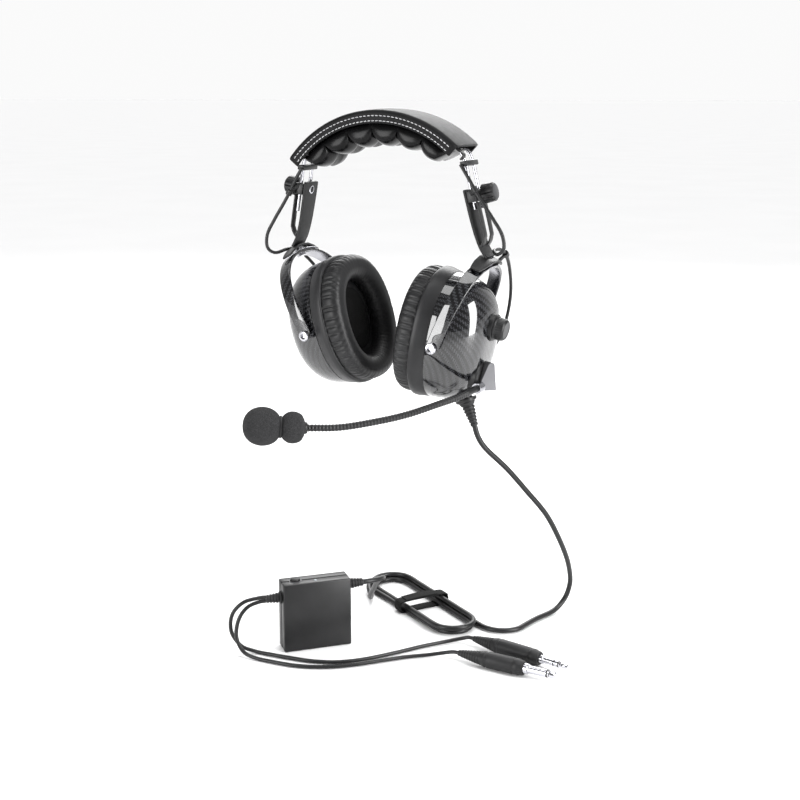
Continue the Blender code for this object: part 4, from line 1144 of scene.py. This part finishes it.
def dome_lengths(steps=60):
    """Lengths from the dome's top along its skin, at even steps of the angle from rim to top."""
    mean = sum(DOME_HALF) / 2
    profile = []
    for k in range(steps + 1):
        angle = math.pi / 2 * k / steps
        profile.append((mean * math.cos(angle) ** DOME_CURVE[0],
                        DOME_DEPTH * math.sin(angle) ** DOME_CURVE[1]))
    lengths = [0.0]
    for (r1, d1), (r2, d2) in zip(profile[::-1], profile[-2::-1]):
        lengths.append(lengths[-1] + math.hypot(r2 - r1, d2 - d1))
    return lengths[::-1]


def drape(vertex, lengths):
    """Where a point of the dome lay on the flat cloth: its direction from the top, at its length from it."""
    rise = min(1.0, max(0.0, (vertex.co.x - DOME_X) / DOME_DEPTH))
    at = math.asin(rise ** (1 / DOME_CURVE[1])) / (math.pi / 2) * (len(lengths) - 1)
    low = min(int(at), len(lengths) - 2)
    length = lengths[low] + (lengths[low + 1] - lengths[low]) * (at - low)
    away = Vector((vertex.co.y, vertex.co.z - CUP_CENTRE_Z))
    return away.normalized() * length


def make_shell(side, s):
    """The dome's outer and inner skins, joined at the rim, with openings for what passes through."""
    work = bmesh.new()
    rims = []
    for rings in (dome_rings(0.0, 44), dome_rings(DOME_WALL, 20)):
        loops = [[work.verts.new(p) for p in ring] for ring in rings]
        for lower, upper in zip(loops, loops[1:]):
            bridge(work, lower, upper)
        work.faces.new(loops[-1])
        rims.append(loops[0])
    bridge(work, *rims)
    mesh = mesh_of(work, side + "_dome")
    if side == "left":
        gland = Matrix.Translation(GLAND_AT) @ step(turn=(0, math.pi - GLAND_ANGLE, 0))
        volume, boom = step((0, 0, VOLUME_Z)) @ OUTWARD, Matrix.Translation(BOOM_AT) @ OUTWARD
        mesh = cut(mesh, (rod_tool(VOLUME_RADIUS + GAP, 0.020, 0.050, volume),
                          rod_tool(BOOM_BASE_RADIUS + GAP, 0.012, 0.050, boom),
                          rod_tool(0.0056 + GAP, -0.015, 0.015, gland)))
    lengths = dome_lengths()
    unwrap(mesh, lambda vertex: drape(vertex, lengths))
    piece(side + "_dome", mesh, side + "_cup", "carbon_weave", "carbon_weave", FRAMES[side]["cup"], s < 0,
          (side + "_cup_shell",), sharp=45)


def make_plate(side, s):
    """The flange behind the seal, whose wall flares in to meet the dome."""
    floor, rim = PLATE_X + 0.0026, DOME_X - GAP
    section = ((PLATE_X, PLATE_HALF[0] - 0.0008, PLATE_HALF[1] - 0.0008),
               (PLATE_X + 0.0006, PLATE_HALF[0] - 0.0001, PLATE_HALF[1] - 0.0001),
               (PLATE_X + 0.0016, *PLATE_HALF), (PLATE_X + 0.0040, *PLATE_HALF),
               (PLATE_X + 0.0052, PLATE_HALF[0] - 0.0004, PLATE_HALF[1] - 0.0004),
               (rim - 0.0012, DOME_HALF[0] + 0.0006, DOME_HALF[1] + 0.0006),
               (rim, DOME_HALF[0] - 0.0002, DOME_HALF[1] - 0.0002),
               (rim, DOME_HALF[0] - 0.0022, DOME_HALF[1] - 0.0022),
               (floor, PLATE_HALF[0] - 0.0035, PLATE_HALF[1] - 0.0035), (floor, 0.0170, 0.0170),
               (PLATE_X, 0.0170, 0.0170))
    rings = [oval(half_y, half_z, x) for x, half_y, half_z in section]
    piece(side + "_flange", loft(side + "_flange", rings, "join"), side + "_cup", "flange_plastic",
          "black_plastic", FRAMES[side]["cup"], s < 0, (side + "_base_plate",), sharp=50)


def pleat_depths(seed, steps):
    """How far the leather is drawn in round the seal, at irregular pleats."""
    draw = random.Random(seed)
    pleats = []
    for k in range(PLEATS):
        centre = (k + draw.uniform(-0.28, 0.28)) / PLEATS
        pleats.append((centre, draw.uniform(0.45, 1.0), draw.uniform(0.0020, 0.0042)))
    depths = []
    for i in range(steps):
        at, total = i / steps, 0.0
        for centre, depth, width in pleats:
            away = abs((at - centre + 0.5) % 1.0 - 0.5)
            total += depth * math.exp(-(away / width) ** 2)
        depths.append(min(total, 1.1))
    return depths


def make_seal(side, s):
    """The ear cushion: a full rounded section, drawn into pleats on its walls and smooth on its face."""
    steps = 480
    back = PLATE_X - GAP
    middle = [(outer + inner) / 2 for outer, inner in zip(SEAL_HALF, SEAL_OPENING)]
    reach = (SEAL_HALF[0] - SEAL_OPENING[0]) / 2
    section = ((back, 0.90, 0.0), (back - 0.0022, 0.98, 0.8), (back - 0.0062, 1.02, 1.0),
               (back - 0.0100, 0.96, 0.7), (back - 0.0128, 0.79, 0.30), (back - 0.0147, 0.50, 0.12),
               (SEAL_INNER_X, 0.12, 0.05), (SEAL_INNER_X + 0.0002, -0.22, 0.05), (back - 0.0136, -0.55, 0.10),
               (back - 0.0108, -0.84, 0.15), (back - 0.0070, -1.00, 0.15), (back - 0.0030, -1.02, 0.1),
               (back, -0.94, 0.0))
    line = catmull([(x * 1000, out * 10, pleat * 10) for x, out, pleat in section], fine=4)
    depths = pleat_depths(11 if side == "left" else 23, steps)
    rings = []
    for point in line:
        x, out, pleat = point.x / 1000, point.y / 10, max(0.0, point.z / 10)
        loop = []
        for k in range(steps):
            wall = out * reach - math.copysign(depths[k] * pleat * PLEAT_DRAW, out)
            sunk = depths[k] * pleat * PLEAT_SINK if x < back - 0.011 else 0.0
            loop.append(oval_point(2 * math.pi * k / steps, middle[0] + wall, middle[1] + wall, x + sunk))
        rings.append(loop)
    made = piece(side + "_ear_cushion", loft(side + "_ear_cushion", rings, "join"), side + "_cup",
                 "seal_leather", "black_leather", FRAMES[side]["cup"], s < 0, (side + "_ear_seal",), sharp=80)


def make_grille(side, s):
    """Cloth stretched over the speaker, a little crowned."""
    rings = []
    for part in (0.0, 0.35, 0.6, 0.8, 0.92, 1.0):
        size = math.cos(part * math.pi / 2 * 0.93)
        crown = 0.0012 * math.sin(part * math.pi / 2)
        rings.append(oval(0.0200 * size, 0.0260 * size, PLATE_X - GAP - crown))
    mesh = loft(side + "_ear_cloth", [oval(0.0200, 0.0260, PLATE_X - GAP + 0.0002)] + rings)
    piece(side + "_ear_cloth", mesh, side + "_cup", "ear_cloth", "black_foam", FRAMES[side]["cup"], s < 0,
          (side + "_speaker_grille",), sharp=50)


def make_volume_knob(cup):
    place = cup @ step((0, 0, VOLUME_Z)) @ OUTWARD
    base = ((0.0040, 0.0332), (0.0098, 0.0332), (VOLUME_RADIUS - 0.0004, 0.0328), (VOLUME_RADIUS, 0.0320),
            (VOLUME_RADIUS, 0.0255), (0.0040, 0.0255))
    turned_piece("volume_ring", base, "left_cup", "black_plastic", "black_plastic", place,
                 nodes=("volume_knob_base",), sharp=30)
    ridges, steps = 36, 216
    stations = ((0.0262, 0.0030, 0), (0.0336, 0.0030, 0), (0.0336, 0.0096, 0), (0.0343, 0.0093, 0),
                (0.0348, 0.0090, 1), (0.0396, 0.0089, 1), (0.0403, 0.0086, 0), (0.0412, 0.0081, 0),
                (0.0418, 0.0073, 0), (0.0414, 0.0064, 0), (0.0412, 0.0030, 0))
    rings = []
    for height, radius, ridged in stations:
        ring = []
        for k in range(steps):
            angle = 2 * math.pi * k / steps
            wide = radius * (1 - 0.022 * ridged * (0.5 + 0.5 * math.cos(ridges * angle)))
            ring.append((wide * math.cos(angle), wide * math.sin(angle), height))
        rings.append(ring)
    piece("volume_cap", loft("volume_cap", rings), "volume_knob", "black_plastic", "black_plastic", place,
          nodes=("volume_knob",), sharp=30)


def make_volume_dish(cup):
    """The hollow face of the volume knob."""
    profile = ((0.0, 0.0413), (0.0030, 0.0414), (0.0058, 0.0418), (0.0066, 0.0420), (0.0068, 0.0417),
               (0.0, 0.0412))
    turned_piece("volume_dish", profile, "volume_knob", "dark_grey_plastic", "grey_plastic",
                 cup @ step((0, 0, VOLUME_Z)) @ OUTWARD, 96, sharp=50)


def make_boom_block(place):
    """A wedge that narrows upwards, with a light face turned a little to the front and dark sides."""
    slope, middle, low = 0.58, 0.0376, 0.0319
    tip, blunt = -0.0105, 0.0030
    outline = [(0.0100, -0.0085), (0.0100, 0.0085)]
    outline += [(tip - blunt * math.cos(math.radians(a)), blunt * math.sin(math.radians(a)))
                for a in (66, 33, 0, -33, -66)]
    mesh = loft("boom_wedge", [[(x, y, low) for x, y in outline],
                               [(x, y, middle + slope * y) for x, y in outline]])
    made = piece("boom_wedge", mesh, "boom", "dark_grey_plastic", "grey_plastic", place,
                 nodes=("boom_block",), bevel=0.0007, sharp=30)
    mesh.materials.append(LOOKS["grey_plastic"])
    normal = (place.to_3x3() @ Vector((0, -slope, 1))).normalized()
    for face in mesh.polygons:
        face.material_index = 1 if face.normal.dot(normal) > 0.95 else 0
    return made


def make_boom(cup):
    place = cup @ Matrix.Translation(BOOM_AT) @ OUTWARD
    base = ((0.0042, 0.0316), (0.0106, 0.0316), (0.0119, 0.0310), (BOOM_BASE_RADIUS, 0.0300),
            (BOOM_BASE_RADIUS, 0.0195), (0.0042, 0.0195))
    turned_piece("boom_disc", base, "left_cup", "black_plastic", "black_plastic", place,
                 nodes=("boom_base",), sharp=30)
    make_boom_block(place)
    path = smooth_line(BOOM_ROUTE, RIB_PITCH / 8)

    def ribbed(walked):
        if walked < BOOM_STUB:
            return BOOM_RADIUS
        return BOOM_RADIUS * (0.94 + 0.08 * math.cos(2 * math.pi * (walked - BOOM_STUB) / RIB_PITCH))

    piece("gooseneck", sweep("gooseneck", path, ribbed, 24), "boom", "black_plastic", "black_plastic",
          nodes=("boom",), sharp=60)
    heading = path[12] - path[0]
    collar_at = aimed(path[6], heading)
    collar = turned("boom_collar", ((0.0028, 0.0036), (0.0040, 0.0036), (0.0043, 0.0032), (0.0043, -0.0032),
                                    (0.0040, -0.0036), (0.0028, -0.0036)), 48, collar_at)
    piece("boom_collar", collar, "boom", "bright_steel", "bright_steel", sharp=30)
    make_microphone(Vector(BOOM_ROUTE[-1]))


def make_microphone(last):
    """The capsule and its two-lobed foam windscreen, with a dark ring at the waist."""
    heading = (Vector(WINDSCREEN_AT) - last).normalized()
    place = aimed(last + heading * GAP, heading)
    capsule = ((0.0, 0.0330), (0.0043, 0.0330), (0.0048, 0.0322), (0.0048, 0.0024), (0.0042, 0.0006),
               (0.0034, 0.0), (0.0, 0.0))
    turned_piece("microphone_capsule", capsule, "boom", "black_plastic", "black_plastic", place, 48,
                 nodes=("mic_capsule",), sharp=30)
    outline = ((0.0010, 0.0474), (0.0050, 0.0467), (0.0094, 0.0443), (0.0128, 0.0398), (0.0143, 0.0336),
               (0.0134, 0.0276), (0.0108, 0.0230), (0.0076, 0.0203), (0.0074, 0.0190), (0.0096, 0.0170),
               (0.0115, 0.0135), (0.0116, 0.0090), (0.0098, 0.0048), (0.0062, 0.0025))
    smooth = [(p.x, p.z) for p in catmull([(r, 0.0, h) for r, h in outline], fine=5)]
    hollow = [(0.0053, 0.0027), (0.0053, 0.0338), (0.0010, 0.0340)]
    turned_piece("foam_windscreen", smooth + hollow, "boom", "black_foam", "black_foam", place, 96,
                 nodes=("windscreen",), sharp=70)
    band = ((0.0068, 0.0205), (0.0084, 0.0203), (0.0084, 0.0191), (0.0068, 0.0189))
    turned_piece("windscreen_band", band, "boom", "black_rubber", "black_rubber", place)


def make_gland(cup):
    """The cord's flange in the dome, and a boot with grooves that let it bend."""
    place = cup @ Matrix.Translation(GLAND_AT) @ step(turn=(0, math.pi - GLAND_ANGLE, 0))
    flange = ((0.0030, 0.0052), (0.0078, 0.0052), (0.0086, 0.0046), (0.0088, 0.0038), (0.0088, 0.0026),
              (0.0056, 0.0026), (0.0056, -0.0050), (0.0030, -0.0050))
    turned_piece("cord_flange", flange, "left_cup", "black_plastic", "black_plastic", place,
                 nodes=("cord_gland",), sharp=30)
    profile = [(0.0, 0.0255), (0.0029, 0.0255), (0.0031, 0.0250)]
    grooves = 6
    for k in range(grooves):
        low, high = 0.0236 - 0.0028 * k, 0.0032 + 0.00042 * k
        profile += [(high, low), (high * 0.86, low - 0.0003), (high * 0.86, low - 0.0010),
                    (high + 0.0002, low - 0.0013)]
    profile += [(0.0064, 0.0065), (0.0068, 0.0058), (0.0068, 0.0055), (0.0, 0.0055)]
    turned_piece("cord_relief", profile, "left_cup", "black_rubber", "black_rubber", place, 48,
                 nodes=("cord_boot",), bevel=0.0001, sharp=30)


def make_cup(side, s):
    make_shell(side, s)
    make_plate(side, s)
    make_seal(side, s)
    make_grille(side, s)


# ---------------------------------------------------------------- control box

def make_box():
    length, depth, height = BOX_SIZE
    for node in ("box_front", "box_back"):
        copied(node, "left_cup", "black_plastic", "black_plastic", 0.0004, 0.5)
    dome = [(0.0, 0.0024), (0.0022, 0.0024), (0.0034, 0.0021), (0.0040, 0.0012), (0.0040, -0.0050),
            (0.0, -0.0050)]
    button_at = BOX @ Matrix.Translation((BUTTON_X, depth / 2, height))
    turned_piece("push_button", dome, "box_button", "black_rubber", "black_rubber", button_at,
                 nodes=("box_button",), sharp=30)
    bezel = ((0.0044, 0.0003), (0.0052, 0.0003), (0.0055, 0.0), (0.0044, 0.0))
    turned_piece("button_bezel", bezel, "left_cup", "knob_face", "grey_plastic", button_at)
    light = ((0.0, 0.0006), (0.0008, 0.0006), (0.0012, 0.0002), (0.0012, 0.0), (0.0, 0.0))
    turned_piece("box_lamp", light, "left_cup", "indicator", "grey_plastic",
                 BOX @ Matrix.Translation((BUTTON_X + 0.016, depth / 2 - 0.004, height)), 32)
    relief = [(0.0, 0.0125), (0.0030, 0.0125)]
    for k in range(4):
        at, wide = 0.0118 - 0.0025 * k, 0.0033 + 0.0003 * k
        relief += [(wide, at), (wide, at - 0.0014), (wide * 0.86, at - 0.0016), (wide * 0.86, at - 0.0022)]
    relief += [(0.0052, 0.0012), (0.0052, 0.0004), (0.0040, 0.0003), (0.0040, -0.0040), (0.0, -0.0040)]
    for name, x, z, turn in (("box_outlet", length, BOX_OUTLET_Z, math.pi / 2),
                             ("box_inlet", 0, BOX_INLET_Z, -math.pi / 2)):
        turned_piece(name + "_relief", relief, "left_cup", "black_rubber", "black_rubber",
                     BOX @ step((x, depth / 2, z), (0, turn, 0)), 48, nodes=(name + "_gland",),
                     bevel=0.0001, sharp=30)


# ---------------------------------------------------------------- everything

def dress_frame():
    """Every CAD piece that still shows gets the look of its own slot."""
    for entry in frame["record"]["subparts"]:
        node = frame["nodes"][entry["node"]]
        node.data.materials.clear()
        node.data.materials.append(LOOKS[entry["material_slot"]])


def build():
    make_camera()
    make_cords()
    make_studio()
    dress_frame()
    make_head_pad()
    for side, s in SIDES.items():
        make_arm(side, s)
        make_cup(side, s)
    cup = FRAMES["left"]["cup"]
    make_volume_knob(cup)
    make_volume_dish(cup)
    make_boom(cup)
    make_gland(cup)
    make_box()


build()
